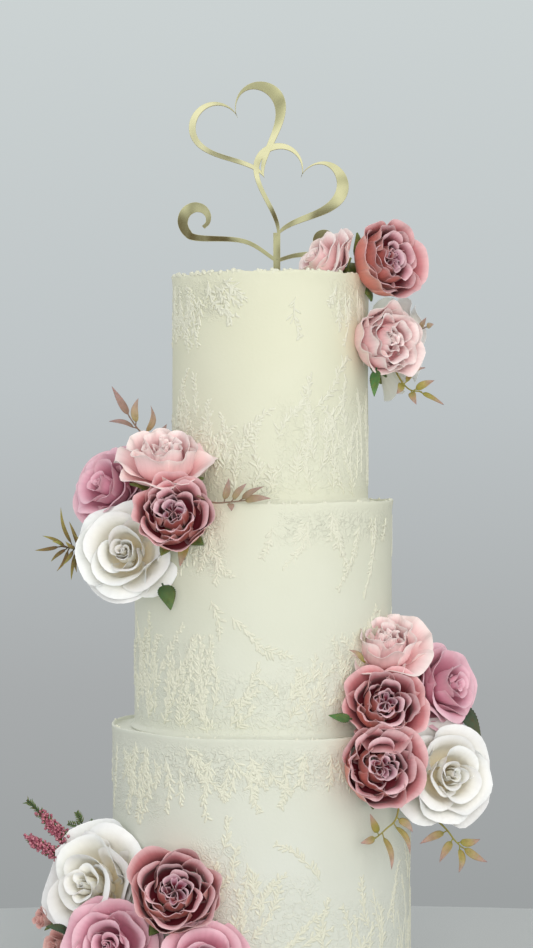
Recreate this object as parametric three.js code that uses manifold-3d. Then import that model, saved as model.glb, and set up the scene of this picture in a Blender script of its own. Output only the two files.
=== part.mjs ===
// Three-tier wedding cake with icing relief, four clusters of silk flowers and a mirror topper.
// Millimetres, +Z up. The origin is the centre of the base, and the front of the cake faces -Y.

import * as THREE from 'three';
import { mergeVertices } from 'three/addons/utils/BufferGeometryUtils.js';
import Module from 'manifold-3d';

const wasm = await Module();
wasm.setup();

const TURN = 2 * Math.PI;
const GAP = 0.3; // clear space between pieces that touch

// Tiers from the base up: radius over the icing, height to the ledge, centre across from the axis.
const TIERS = [
  { name: 'tier_bottom', radius: 117.3, height: 200, across: 0 },
  { name: 'tier_middle', radius: 101.3, height: 175, across: 1.3 },
  { name: 'tier_top', radius: 77, height: 175, across: 6.9 },
];
const TIER_SIDES = 44;
const BASE_ROUND = 1.5; // small round where the icing meets the board
const LIP = { thickness: 2.4, rise: 2.8, root: 1 }; // thin edge of icing round the top
// How far the lip waves out and up, the waves in a turn, and the shift from tier to tier.
const LIP_WAVES = { flare: 1.2, rise: 0.9, slow: 2, quick: 7, shift: 1.7 };
const ICING = 0xe4e1cc;

// Icing relief: sprays of leaflets on curved stems, pressed on the walls.
const SPRAY = { pairs: 2, height: 1.5, stemWidth: 1.8, overlap: 1.15 };
const LEAFLET = { length: 11, width: 3.8, spread: 48, shrink: 0.14 };

// Each spray starts at an angle round the tier (0 is the front, positive to the right) and a
// height, heads a number of degrees from upright, and bends by curl along its length.
const SPRAYS = {
  tier_bottom: [
    { angle: -38, height: 186, heading: 160, length: 40, curl: 40 },
    { angle: -18, height: 188, heading: 205, length: 44, curl: -40 },
    { angle: 2, height: 20, heading: 10, length: 42, curl: 50 },
    { angle: 22, height: 96, heading: -30, length: 44, curl: -40 },
    { angle: 50, height: 30, heading: 20, length: 46, curl: -50 },
    { angle: 120, height: 20, heading: -15, length: 46, curl: 40 },
  ],
  tier_middle: [
    { angle: -33, height: 76, heading: 165, length: 40, curl: 45 },
    { angle: -22, height: 22, heading: 20, length: 46, curl: -50 },
    { angle: 20, height: 22, heading: 15, length: 40, curl: 40 },
    { angle: -24, height: 150, heading: 165, length: 34, curl: -40 },
    { angle: 20, height: 160, heading: 195, length: 36, curl: 40 },
    { angle: 130, height: 24, heading: -10, length: 46, curl: 40 },
    { angle: 200, height: 24, heading: 10, length: 46, curl: -40 },
  ],
  tier_top: [
    { angle: -46, height: 160, heading: 165, length: 34, curl: 45 },
    { angle: -58, height: 52, heading: 15, length: 36, curl: -45 },
    { angle: -6, height: 26, heading: -20, length: 40, curl: 45 },
    { angle: 18, height: 30, heading: 25, length: 42, curl: -40 },
    { angle: 14, height: 158, heading: 190, length: 30, curl: -40 },
    { angle: 150, height: 24, heading: -12, length: 40, curl: 40 },
    { angle: 220, height: 156, heading: 170, length: 36, curl: -40 },
  ],
};

// Silk flowers, in shares of the flower's own radius: the back, then each whorl of petals inside
// the last as [reach, height] of its rim, the petals' thickness and the depth of the folds.
const FLOWER_BACK = [[0, -0.64], [0.84, -0.26]];
const KINDS = {
  rose: {
    rims: [[1, 0.06], [0.74, 0.27], [0.46, 0.4]],
    petals: 5, sides: 15, wall: 0.09, sink: 0.2, crown: 0.3,
  },
  peony: {
    rims: [[0.98, 0.16], [0.76, 0.34], [0.5, 0.4]],
    petals: 5, sides: 15, wall: 0.1, sink: 0.24, crown: 0.24,
  },
  bud: {
    rims: [[0.72, 0.46], [0.42, 0.62]],
    petals: 3, sides: 9, wall: 0.12, sink: 0.2, crown: 0.5,
  },
};
const PETAL = { bulge: 0.13, lift: 0.12, uneven: 0.1, overlap: 0.05, inset: 0.2 };
const WIRE = { radius: 1.6, sides: 6 }; // wired stem behind a flower that stands off the cake

const MAUVE = 0x7c4a58;
const PINK = 0xd6a6a7;
const DUSTY = 0xc08a8f;
const WHITE = 0xe8e2cf;
const BUD = 0xa9776f;
const GREEN = 0x5d7446;
const OLIVE = 0x8c8f4e;
const RUSSET = 0xa06f5e;

const LEAF = { width: 5.6, thickness: 1.2, sag: 0.1, wave: 0.5, stations: 4, fullness: 0.8 };
const STEM = { radius: 1.1, sides: 5, stretch: 8 };
const BERRY = { radius: 2.7, turn: 2.2 };

// Four clusters. Places are across, back and up from the cluster's anchor. A flower faces yaw
// degrees to the right of the front and pitch degrees up, and stem is its wire's length. The
// first flowers keep their full form, and those after them are pressed against them. A sprig's
// stem runs through a few points, and each of its leaves goes from a share of the way along the
// stem to its tip. Berries sit along the stem in turn, from a share of the way.
const CLUSTERS = [
  {
    anchor: [82, -20, 550],
    flowers: [
      {
        name: 'peony_mauve_top', kind: 'peony', radius: 31, at: [13, -6, 13], yaw: 35, pitch: 16,
        color: MAUVE,
      },
      {
        name: 'peony_pink_top', kind: 'peony', radius: 31, at: [14, -18, -50], yaw: 18, pitch: 2,
        color: PINK,
      },
      {
        name: 'rose_pink_top', kind: 'rose', radius: 26, at: [-36, -10, 15], yaw: -65, pitch: 34,
        color: PINK,
      },
      {
        name: 'rose_white_top', kind: 'rose', radius: 40, at: [28, 46, -50], yaw: 104, pitch: 0,
        color: WHITE,
      },
    ],
    sprigs: [
      {
        name: 'sprig_top', color: OLIVE, stem: [[16, -8, -58], [24, -14, -76], [32, -16, -86], [42, -14, -88]],
        leaves: [
          [0.97, 59, -16, -98], [0.8, 52, -12, -79], [0.72, 37, -26, -98], [0.45, 22, -26, -90],
          [0.5, 45, -8, -69],
        ],
      },
      {
        name: 'twig_top', color: RUSSET, stem: [[28, 2, -48], [38, -2, -41], [47, -2, -37]],
        leaves: [[0.6, 46, -6, -30]],
      },
    ],
    leaves: [{ name: 'leaf_green_top', color: GREEN, from: [6, -32, -72], to: [4, -40, -92], width: 7 }],
  },
  {
    anchor: [-88, -52, 375],
    flowers: [
      {
        name: 'peony_mauve_left', kind: 'peony', radius: 32, at: [23, -50, -6], yaw: -3, pitch: 21,
        color: MAUVE,
      },
      {
        name: 'peony_pink_left', kind: 'peony', radius: 39, at: [15, -22, 36], yaw: 0, pitch: 63,
        color: PINK,
      },
      {
        name: 'rose_white_left', kind: 'rose', radius: 41, at: [-14, -21, -36], yaw: -15, pitch: 7,
        color: WHITE,
      },
      {
        name: 'rose_mauve_left', kind: 'rose', radius: 33, at: [-30, 16, 13], yaw: -50, pitch: 20,
        color: DUSTY,
      },
    ],
    sprigs: [
      {
        name: 'sprig_left_up', color: RUSSET, stem: [[12, 10, 41], [4, 8, 49], [-6, 8, 57], [-14, 8, 68]],
        leaves: [[0.97, -27, 6, 91], [0.8, -7, 12, 82], [0.7, -29, 4, 64], [0.5, 3, 10, 76], [0.3, 15, 12, 62]],
      },
      {
        name: 'sprig_left_over', color: RUSSET, stem: [[40, -54, 8], [52, -55, 3], [62, -55, 3], [73, -54, 4]],
        leaves: [
          [0.6, 64, -56, 21], [0.8, 77, -54, 17], [0.96, 90, -53, 15], [0.98, 95, -56, 6], [0.7, 66, -58, -3],
        ],
      },
      {
        name: 'spiky_left', color: GREEN, width: 2.8, stem: [[-40, 0, -38], [-54, 0, -34], [-65, 0, -32]],
        leaves: [
          [0.6, -66, 2, -2], [0.8, -80, 2, -24], [0.98, -86, 2, -35], [0.7, -69, 0, -51], [0.5, -58, 2, -58],
          [0.4, -60, 6, -13],
        ],
      },
    ],
    leaves: [
      { name: 'leaf_green_left', color: GREEN, from: [12, -28, -54], to: [20, -30, -78], width: 10 },
      { name: 'leaf_brown_left', color: OLIVE, from: [31, -40, -24], to: [27, -42, -45], width: 8 },
    ],
  },
  {
    anchor: [100, -60, 200],
    flowers: [
      {
        name: 'rose_white_right', kind: 'rose', radius: 41, at: [42, -4, -31], yaw: 25, pitch: 7,
        stem: 42, color: WHITE,
      },
      {
        name: 'peony_mauve_right_upper', kind: 'peony', radius: 34, at: [-8, -32, 25], yaw: 7, pitch: 21,
        stem: 24, color: MAUVE,
      },
      {
        name: 'peony_mauve_right_lower', kind: 'peony', radius: 34, at: [-12, -46, -21], yaw: 9, pitch: 5,
        color: MAUVE,
      },
      { name: 'rose_pale_right', kind: 'rose', radius: 31, at: [-3, 0, 69], yaw: 20, pitch: 37, color: PINK },
      {
        name: 'rose_dusty_right', kind: 'rose', radius: 30, at: [43, 28, 34], yaw: 66, pitch: 19,
        stem: 42, color: DUSTY,
      },
    ],
    sprigs: [
      {
        name: 'sprig_right_low', color: OLIVE,
        stem: [[4, -38, -36], [1, -42, -57], [-7, -42, -66], [-15, -42, -73]],
        leaves: [
          [0.9, -19, -46, -54], [0.97, -26, -44, -76], [0.75, -3, -48, -95], [0.45, 11, -46, -84],
          [0.35, 13, -42, -68],
        ],
      },
      {
        name: 'sprig_right_far', color: RUSSET,
        stem: [[24, -8, -56], [40, -6, -71], [47, -6, -80], [53, -6, -86]],
        leaves: [
          [0.4, 20, -12, -82], [0.6, 35, -12, -96], [0.8, 67, -2, -80], [0.97, 72, -6, -97],
          [0.9, 50, -10, -104],
        ],
      },
    ],
    leaves: [
      { name: 'leaf_dark_right', color: GREEN, from: [48, 22, 24], to: [70, 20, -4], width: 10 },
      { name: 'leaf_small_right', color: GREEN, from: [-34, -46, 17], to: [-50, -49, 20], width: 5 },
      { name: 'leaf_slim_right', color: OLIVE, from: [-26, -24, 60], to: [-39, -28, 70], width: 4 },
    ],
  },
  {
    anchor: [-100, -60, 60],
    flowers: [
      {
        name: 'peony_mauve_bottom', kind: 'peony', radius: 36, at: [37, -62, 28], yaw: -3, pitch: 18,
        color: MAUVE,
      },
      {
        name: 'rose_pink_bottom', kind: 'rose', radius: 37, at: [-14, -44, -11], yaw: -12, pitch: 12,
        stem: 36, color: DUSTY,
      },
      {
        name: 'rose_white_bottom', kind: 'rose', radius: 43, at: [-28, 2, 34], yaw: -26, pitch: 16,
        color: WHITE,
      },
      {
        name: 'rose_pink_bottom_right', kind: 'rose', radius: 33, at: [57, -72, -21], yaw: 3, pitch: 18,
        color: DUSTY,
      },
      {
        name: 'bud_left_upper', kind: 'bud', radius: 13, at: [-68, 20, -5], yaw: -55, pitch: 12,
        stem: 60, color: BUD,
      },
      {
        name: 'bud_left_lower', kind: 'bud', radius: 15, at: [-55, -6, -20], yaw: -39, pitch: 12,
        stem: 56, color: BUD,
      },
    ],
    sprigs: [
      {
        name: 'heather_upper', color: DUSTY, stem: [[-34, 14, 42], [-53, 14, 57], [-66, 14, 74], [-81, 14, 87]],
        berries: 6, from: 0.38,
      },
      {
        name: 'heather_lower', color: DUSTY, stem: [[-36, 8, 36], [-59, 8, 46], [-79, 8, 59]],
        berries: 6, from: 0.42,
      },
      {
        name: 'cedar_left', color: GREEN, width: 3, stem: [[-26, 20, 58], [-33, 18, 68], [-41, 16, 79]],
        leaves: [[0.5, -24, 16, 79], [0.6, -44, 20, 70], [0.8, -32, 18, 85], [0.97, -47, 16, 90]],
      },
    ],
    leaves: [{ name: 'leaf_bottom', color: GREEN, from: [-46, -26, -6], to: [-70, -30, 10], width: 8 }],
  },
];

// Topper: one flat plate of mirror acrylic, two linked hearts over a pair of curls, on a tapered
// stake. Its own frame is across and up from where the stake enters the cake.
const TOPPER = { thickness: 3, across: 12, stakeWidth: 5.5, stakeTip: 2, stakeDepth: 35, stakeTop: 38 };
const HEARTS = [
  { width: 80, centre: [-27, 120], tilt: 24 },
  { width: 78, centre: [15.5, 73], tilt: -22 },
];
const HEART_BAND = { left: 5, right: 9.5, ends: 5 }; // its width at each side, and at top and point
const HEART_POINTS = 24;
const CURLS = [
  { side: -1, reach: 76, height: 34, radius: 14 },
  { side: 1, reach: 44, height: 22, radius: 8.5 },
];
const CURL = { start: 16, stations: 15, turns: 0.9, thin: 1.4, thick: 2.8 };

// A turned solid about +Z. Its profile runs from the axis to the axis, and shift(step, angle)
// gives how far each profile point moves out and up at that angle.
function turned(profile, sides, shift = () => [0, 0]) {
  const points = profile.map(([radius, height]) => new THREE.Vector2(radius, height));
  const geometry = new THREE.LatheGeometry(points, sides);
  const position = geometry.attributes.position;
  for (let side = 0; side <= sides; side += 1) {
    const angle = (TURN * (side % sides)) / sides;
    profile.forEach(([radius, height], step) => {
      const [out, up] = shift(step, angle);
      const reach = radius > 0 ? radius + out : 0;
      const point = [reach * Math.cos(angle), reach * Math.sin(angle), height + up];
      position.setXYZ(side * profile.length + step, ...point);
    });
  }
  return geometry;
}

// A closed geometry as a solid for joins and cuts.
function solid(geometry) {
  const bare = new THREE.BufferGeometry();
  bare.setAttribute('position', geometry.attributes.position.clone());
  if (geometry.index) bare.setIndex(geometry.index.clone());
  const merged = mergeVertices(bare, 1e-4);
  const index = merged.index.array;
  const triVerts = [];
  for (let i = 0; i < index.length; i += 3) {
    const [a, b, c] = [index[i], index[i + 1], index[i + 2]];
    if (a !== b && b !== c && c !== a) triVerts.push(a, b, c);
  }
  return new wasm.Manifold(new wasm.Mesh({
    numProp: 3,
    vertProperties: new Float32Array(merged.attributes.position.array),
    triVerts: new Uint32Array(triVerts),
  }));
}

// The surface of a solid as a geometry.
function surface(manifold) {
  const { vertProperties, triVerts } = manifold.getMesh();
  const geometry = new THREE.BufferGeometry();
  geometry.setAttribute('position', new THREE.BufferAttribute(vertProperties, 3));
  geometry.setIndex(new THREE.BufferAttribute(triVerts, 1));
  geometry.computeVertexNormals();
  return geometry;
}

// The largest body of a solid that a cut may have parted.
function largest(manifold) {
  return manifold.decompose().reduce((best, body) => (body.volume() > best.volume() ? body : best));
}

// A matrix that stands a geometry's +Z along a direction at a place, with +Y turned towards side.
function standing(place, direction, side) {
  const z = direction.clone().normalize();
  const x = new THREE.Vector3().crossVectors(side, z).normalize();
  const y = new THREE.Vector3().crossVectors(z, x);
  return new THREE.Matrix4().makeBasis(x, y, z).setPosition(place);
}

const radians = THREE.MathUtils.degToRad;
const vector = (point) => new THREE.Vector3(...point);

function finish(color, roughness, metalness = 0) {
  return new THREE.MeshStandardMaterial({ color, roughness, metalness });
}

// ---- Tiers ----

const tierBase = (index) => TIERS.slice(0, index).reduce((sum, tier) => sum + tier.height, 0);

// How far the thin lip of icing waves out and up round the top edge.
function lipWave(index, angle) {
  const slow = Math.sin(LIP_WAVES.slow * angle + LIP_WAVES.shift * index);
  const quick = Math.sin(LIP_WAVES.quick * angle + LIP_WAVES.shift * index);
  return [(LIP_WAVES.flare * (1 + slow)) / 2, (LIP_WAVES.rise * (quick + slow)) / 2];
}

function tierBody(index) {
  const { radius, height } = TIERS[index];
  const bottom = index > 0 ? GAP : 0;
  const top = height + LIP.rise;
  const inner = radius - LIP.thickness;
  const foot = [[0, bottom], [radius - BASE_ROUND, bottom], [radius, bottom + BASE_ROUND]];
  const wall = [...foot, [radius, height - 2 * LIP.rise]];
  const lip = [[radius, top], [inner, top]];
  const ledge = [[inner - LIP.root, height], [0, height]];
  return solid(turned([...wall, ...lip, ...ledge], TIER_SIDES, (step, angle) => {
    const onLip = step >= wall.length && step < wall.length + lip.length;
    return onLip ? lipWave(index, angle) : [0, 0];
  }));
}

// The space that a tier takes, with room for its relief, which flowers and leaves keep out of.
function tierRoom(index) {
  const { radius, height } = TIERS[index];
  const outside = radius + Math.max(SPRAY.height, LIP_WAVES.flare) + 2 * GAP;
  const inside = radius - LIP.thickness - LIP.root - GAP;
  const top = height + LIP.rise + LIP_WAVES.rise + GAP;
  const ledge = height + GAP;
  const wall = [[0, 0], [outside, 0], [outside, top], [inside, top]];
  return turned([...wall, [inside, ledge], [0, ledge]], TIER_SIDES);
}

// One leaflet or stem stretch: a long octahedron half sunk in the wall of the tier.
function stroke(radius, along, up, heading, length, width, thickness) {
  const angle = along / radius;
  const outward = new THREE.Vector3(Math.sin(angle), -Math.cos(angle), 0);
  const direction = new THREE.Vector3(Math.cos(angle), Math.sin(angle), 0);
  direction.multiplyScalar(Math.sin(heading)).setZ(Math.cos(heading));
  const place = outward.clone().multiplyScalar(radius - GAP).setZ(up);
  const matrix = standing(place, direction, outward);
  matrix.scale(new THREE.Vector3(width / 2, thickness + GAP, length / 2));
  return solid(new THREE.OctahedronGeometry(1).applyMatrix4(matrix));
}

// A spray: the stem bends as it goes, a pair of leaflets stands out at each joint, and one more
// ends it.
function spray(radius, { angle, height, heading, length, curl }) {
  const strokes = [];
  const stretch = length / (SPRAY.pairs + 1);
  let along = radians(angle) * radius;
  let up = height;
  for (let joint = 0; joint <= SPRAY.pairs; joint += 1) {
    const bend = radians(heading + (curl * joint) / SPRAY.pairs);
    const isEnd = joint === SPRAY.pairs;
    const width = isEnd ? LEAFLET.width : SPRAY.stemWidth;
    const [right, rise] = [Math.sin(bend) * stretch, Math.cos(bend) * stretch];
    const reach = stretch * SPRAY.overlap;
    strokes.push(stroke(radius, along + right / 2, up + rise / 2, bend, reach, width, SPRAY.height));
    along += right;
    up += rise;
    const leaf = LEAFLET.length * (1 - LEAFLET.shrink * joint);
    for (const side of isEnd ? [] : [-1, 1]) {
      const turn = bend + side * radians(LEAFLET.spread);
      const [x, z] = [along + (Math.sin(turn) * leaf) / 2, up + (Math.cos(turn) * leaf) / 2];
      strokes.push(stroke(radius, x, z, turn, leaf, LEAFLET.width, SPRAY.height));
    }
  }
  return strokes;
}

// The slot in the top tier that the topper's stake stands in.
function stakeSlot() {
  const { height, across } = TIERS.at(-1);
  const depth = TOPPER.stakeDepth + 2 * GAP + 1;
  const slot = new THREE.BoxGeometry(TOPPER.stakeWidth + 2 * GAP, TOPPER.thickness + 2 * GAP, depth);
  return slot.translate(TOPPER.across - across, 0, height + 1 - depth / 2);
}

const cake = new THREE.Group();
const rooms = []; // spaces in the cake's frame that later pieces keep out of
TIERS.forEach(({ name, radius, across }, index) => {
  let body = tierBody(index);
  for (const placed of SPRAYS[name]) {
    for (const piece of spray(radius, placed)) body = body.add(piece);
  }
  if (index === TIERS.length - 1) body = body.subtract(solid(stakeSlot()));
  const mesh = new THREE.Mesh(surface(body), finish(ICING, 0.6));
  mesh.name = name;
  mesh.position.set(across, 0, tierBase(index));
  cake.add(mesh);
  rooms.push(solid(tierRoom(index).translate(across, 0, tierBase(index))));
});

// ---- Topper ----

// One heart's outline with its point down, tilted about its centre and set in by a band.
function heartPoints({ width, centre, tilt }, band) {
  const half = 16; // half the width of the heart that the lobes' formula draws
  const turn = radians(tilt);
  return Array.from({ length: HEART_POINTS }, (_, i) => {
    const t = (TURN * i) / HEART_POINTS;
    const side = Math.sin(t) ** 3 * (width / 2 - (Math.sin(t) > 0 ? band.right : band.left));
    const scale = (width / 2 - band.ends) / half;
    const lobes = 13 * Math.cos(t) - 5 * Math.cos(2 * t) - 2 * Math.cos(3 * t) - Math.cos(4 * t);
    const rise = lobes * scale;
    const across = side * Math.cos(turn) - rise * Math.sin(turn);
    const up = side * Math.sin(turn) + rise * Math.cos(turn);
    return new THREE.Vector2(centre[0] + across, centre[1] + up);
  });
}

function heartRing(heart) {
  const ring = new THREE.Shape(heartPoints(heart, { left: 0, right: 0, ends: 0 }));
  ring.holes.push(new THREE.Path(heartPoints(heart, HEART_BAND).reverse()));
  return ring;
}

// A ribbon from the stake out to one side, which ends in a spiral and is thickest in the middle.
function curlShape({ side, reach, height, radius }) {
  const centre = new THREE.Vector3(side * (reach - radius), height + radius, 0);
  const points = [new THREE.Vector3(0, CURL.start, 0), new THREE.Vector3((side * reach) / 3, height * 0.92, 0)];
  const steps = 8;
  for (let step = 0; step <= steps; step += 1) {
    const share = step / steps;
    const angle = TURN * (CURL.turns * share - 0.25);
    const out = radius * (1 - 0.5 * share);
    const place = new THREE.Vector3(side * out * Math.cos(angle), out * Math.sin(angle), 0);
    points.push(place.add(centre));
  }
  const line = new THREE.CatmullRomCurve3(points);
  const edges = [[], []];
  for (let station = 0; station <= CURL.stations; station += 1) {
    const share = station / CURL.stations;
    const point = line.getPointAt(share);
    const way = line.getTangentAt(share);
    const half = CURL.thin + CURL.thick * Math.sin(Math.PI * share) ** 2;
    edges[0].push(new THREE.Vector2(point.x - way.y * half, point.y + way.x * half));
    edges[1].unshift(new THREE.Vector2(point.x + way.y * half, point.y - way.x * half));
  }
  return new THREE.Shape([...edges[0], ...edges[1]]);
}

function stakeShape() {
  const { stakeWidth, stakeTip, stakeDepth, stakeTop } = TOPPER;
  const shape = new THREE.Shape();
  shape.moveTo(-stakeTip / 2, -stakeDepth);
  shape.lineTo(stakeTip / 2, -stakeDepth);
  shape.lineTo(stakeWidth / 2, -stakeDepth / 2);
  shape.lineTo(stakeWidth / 2, stakeTop);
  shape.lineTo(-stakeWidth / 2, stakeTop);
  shape.lineTo(-stakeWidth / 2, -stakeDepth / 2);
  return shape;
}

function addTopper() {
  const plate = { depth: TOPPER.thickness, bevelEnabled: false };
  const shapes = [...HEARTS.map(heartRing), ...CURLS.map(curlShape), stakeShape()];
  const pieces = shapes.map((shape) => solid(new THREE.ExtrudeGeometry(shape, plate)));
  const body = pieces.reduce((sum, next) => sum.add(next));
  const mesh = new THREE.Mesh(surface(body), finish(0xcfc79a, 0.12, 1));
  mesh.name = 'topper';
  mesh.rotation.x = Math.PI / 2;
  mesh.position.set(TOPPER.across, TOPPER.thickness / 2, tierBase(TIERS.length));
  cake.add(mesh);
}
addTopper();

// ---- Flowers ----

// Random numbers from 0 to 1, the same for the same seed.
function randomFrom(seed) {
  const [factor, range] = [16807, 2147483647];
  let state = (seed + 1) * factor;
  return () => {
    state = (state * factor) % range;
    return state / range;
  };
}

// For each whorl, where its first petal starts and how far each petal stands from the even ring.
function petalPlan({ rims, petals }, seed) {
  const random = randomFrom(seed);
  return rims.map(() => ({
    start: random(),
    uneven: Array.from({ length: petals }, () => PETAL.uneven * (random() - 0.5)),
  }));
}

// How far a petal's edge stands out and up from its whorl's ring at an angle, in shares of radius.
function petalEdge({ start, uneven }, whorl, angle) {
  const turn = (uneven.length * angle) / TURN + start;
  const petal = Math.floor(turn) % uneven.length;
  const across = turn - Math.floor(turn);
  const round = 1 - (2 * across - 1) ** 2;
  const share = 1 - PETAL.inset * whorl;
  const out = share * PETAL.bulge * (round - 2 / 3) + PETAL.overlap * (across - 0.5);
  return [out + uneven[petal], share * PETAL.lift * (round - 0.5) + uneven[petal]];
}

// A flower's profile as steps of { reach, up, whorl, outer }: the back, then for each whorl its
// rim, the inner edge of the petal and the valley before the next whorl, then the crown.
function flowerSteps({ rims, wall, sink, crown }) {
  const steps = FLOWER_BACK.map(([reach, up]) => ({ reach, up, outer: true }));
  rims.forEach(([reach, up], whorl) => {
    const inner = reach - wall;
    const next = rims[whorl + 1]?.[0] ?? wall;
    steps.push({ reach, up, whorl, outer: true });
    if (whorl < rims.length - 1) steps.push({ reach: inner, up: up - wall / 3, whorl });
    steps.push({ reach: (inner + next - wall) / 2, up: up - sink });
  });
  return [...steps, { reach: 0, up: crown, outer: true }];
}

// The wired stem behind a flower, down its -Z.
function wire(radius, length, gap) {
  const reach = WIRE.radius + gap;
  const [end, top] = [-radius / 2 - length - gap, -radius / 2];
  return turned([[0, end], [reach, end], [reach, top], [0, top]], WIRE.sides);
}

// A flower of some of its profile's steps, grown on all sides by a gap.
function flowerSolid({ kind, radius, stem }, plan, steps, gap) {
  const profile = steps.map(({ reach, up }) => {
    const out = reach > 0 ? reach * radius + gap : 0;
    return [out, up * radius + Math.sign(up) * gap];
  });
  const bloom = solid(turned(profile, KINDS[kind].sides, (step, angle) => {
    const { whorl } = steps[step];
    if (whorl === undefined) return [0, 0];
    return petalEdge(plan[whorl], whorl, angle).map((share) => share * radius);
  }));
  return stem ? bloom.add(solid(wire(radius, stem, gap))) : bloom;
}

function facing(yaw, pitch) {
  const [side, rise] = [radians(yaw), radians(pitch)];
  return new THREE.Vector3(Math.sin(side) * Math.cos(rise), -Math.cos(side) * Math.cos(rise), Math.sin(rise));
}

// Hangs a named mesh in its group, and gives it what is left of its shape beside the pieces
// before it. The shape is a solid in the mesh's own frame.
function fit(group, mesh, shape) {
  group.add(mesh);
  group.updateMatrixWorld(true);
  let body = solid(surface(shape).applyMatrix4(mesh.matrixWorld));
  for (const taken of rooms) body = body.subtract(taken);
  mesh.geometry = surface(largest(body)).applyMatrix4(mesh.matrixWorld.clone().invert());
}

function addFlower(group, flower, seed) {
  const mesh = new THREE.Mesh(undefined, finish(flower.color, 0.85));
  mesh.name = flower.name;
  mesh.position.set(...flower.at);
  mesh.quaternion.setFromUnitVectors(new THREE.Vector3(0, 0, 1), facing(flower.yaw, flower.pitch));
  const steps = flowerSteps(KINDS[flower.kind]);
  const plan = petalPlan(KINDS[flower.kind], seed);
  fit(group, mesh, flowerSolid(flower, plan, steps, 0));
  const outline = flowerSolid(flower, plan, steps.filter((step) => step.outer), GAP * 1.5);
  rooms.push(solid(surface(outline).applyMatrix4(mesh.matrixWorld)));
}

// ---- Foliage ----

// A leaf from the origin along +Z, as wide as given across X, waved a little along its edges.
// Both faces are split into triangles alike.
function leafBlade(length, width) {
  const { stations, thickness, sag, wave, fullness } = LEAF;
  const half = thickness / 2;
  const points = [0, 0, 0];
  for (let station = 1; station < stations; station += 1) {
    const share = station / stations;
    const reach = (width / 2) * Math.sin(Math.PI * share ** fullness);
    const bow = -sag * length * Math.sin(Math.PI * share);
    const ruffle = station % 2 ? wave : -wave;
    const along = share * length;
    points.push(-reach, bow + ruffle, along, 0, bow + half, along);
    points.push(reach, bow - ruffle, along, 0, bow - half, along);
  }
  points.push(0, 0, length);
  const tip = 4 * stations - 3;
  const index = [];
  for (let station = 0; station < stations; station += 1) {
    const here = 4 * station - 3;
    for (let side = 0; side < 4; side += 1) {
      const [a, b] = [here + side, here + ((side + 1) % 4)];
      if (station === 0) index.push(0, a + 4, b + 4);
      else if (station === stations - 1) index.push(tip, b, a);
      else if (side < 2) index.push(a, b + 4, b, a, a + 4, b + 4);
      else index.push(a, a + 4, b, b, a + 4, b + 4);
    }
  }
  const geometry = new THREE.BufferGeometry();
  geometry.setAttribute('position', new THREE.Float32BufferAttribute(points, 3));
  geometry.setIndex(index);
  return geometry;
}

// A leaf between two points, its upper face turned towards the front.
function leafBetween(base, tip, width) {
  const span = new THREE.Vector3().subVectors(tip, base);
  const front = new THREE.Vector3(0.15, -1, 0.35);
  return solid(leafBlade(span.length(), width).applyMatrix4(standing(base, span, front)));
}

// A thin stem along a path, with a few flat sides.
function stemAlong(path) {
  const steps = Math.ceil(path.getLength() / STEM.stretch);
  const corners = Array.from({ length: STEM.sides }, (_, side) => {
    const angle = (TURN * side) / STEM.sides;
    return new THREE.Vector2(STEM.radius * Math.cos(angle), STEM.radius * Math.sin(angle));
  });
  const along = { steps, bevelEnabled: false, extrudePath: path };
  return solid(new THREE.ExtrudeGeometry(new THREE.Shape(corners), along));
}

// Berries in turn above, before and below a stem.
function berriesAlong(path, count, from) {
  return Array.from({ length: count }, (_, i) => {
    const place = path.getPointAt(from + ((1 - from) * i) / (count - 1));
    const turn = BERRY.turn * i;
    const out = new THREE.Vector3(0, -Math.abs(Math.sin(turn)), Math.cos(turn)).multiplyScalar(BERRY.radius);
    return solid(new THREE.IcosahedronGeometry(BERRY.radius).translate(...place.add(out)));
  });
}

function sprigSolid({ stem, leaves = [], width = LEAF.width, berries = 0, from = 0 }) {
  const path = new THREE.CatmullRomCurve3(stem.map(vector));
  const blades = leaves.map(([share, ...tip]) => leafBetween(path.getPointAt(share), vector(tip), width));
  const pieces = [...blades, ...(berries > 0 ? berriesAlong(path, berries, from) : [])];
  return pieces.reduce((sum, piece) => sum.add(piece), stemAlong(path));
}

function addFoliage(group, name, color, shape) {
  const mesh = new THREE.Mesh(undefined, finish(color, 0.7));
  mesh.name = name;
  fit(group, mesh, shape);
}

// ---- Clusters ----

CLUSTERS.forEach(({ anchor, flowers }, cluster) => {
  const group = new THREE.Group();
  group.position.set(...anchor);
  cake.add(group);
  flowers.forEach((flower, index) => addFlower(group, flower, 7 * cluster + index));
  CLUSTERS[cluster].group = group;
});
for (const { group, sprigs, leaves } of CLUSTERS) {
  for (const sprig of sprigs) addFoliage(group, sprig.name, sprig.color, sprigSolid(sprig));
  for (const leaf of leaves) {
    addFoliage(group, leaf.name, leaf.color, leafBetween(vector(leaf.from), vector(leaf.to), leaf.width));
  }
}

export default cake;
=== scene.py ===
"""Looks of the tiered wedding cake: buttercream tiers with raised sprays, silk flowers, mirror topper."""

import math
import random

import bmesh
import bpy
from mathutils import Matrix, Quaternion, Vector, noise


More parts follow.
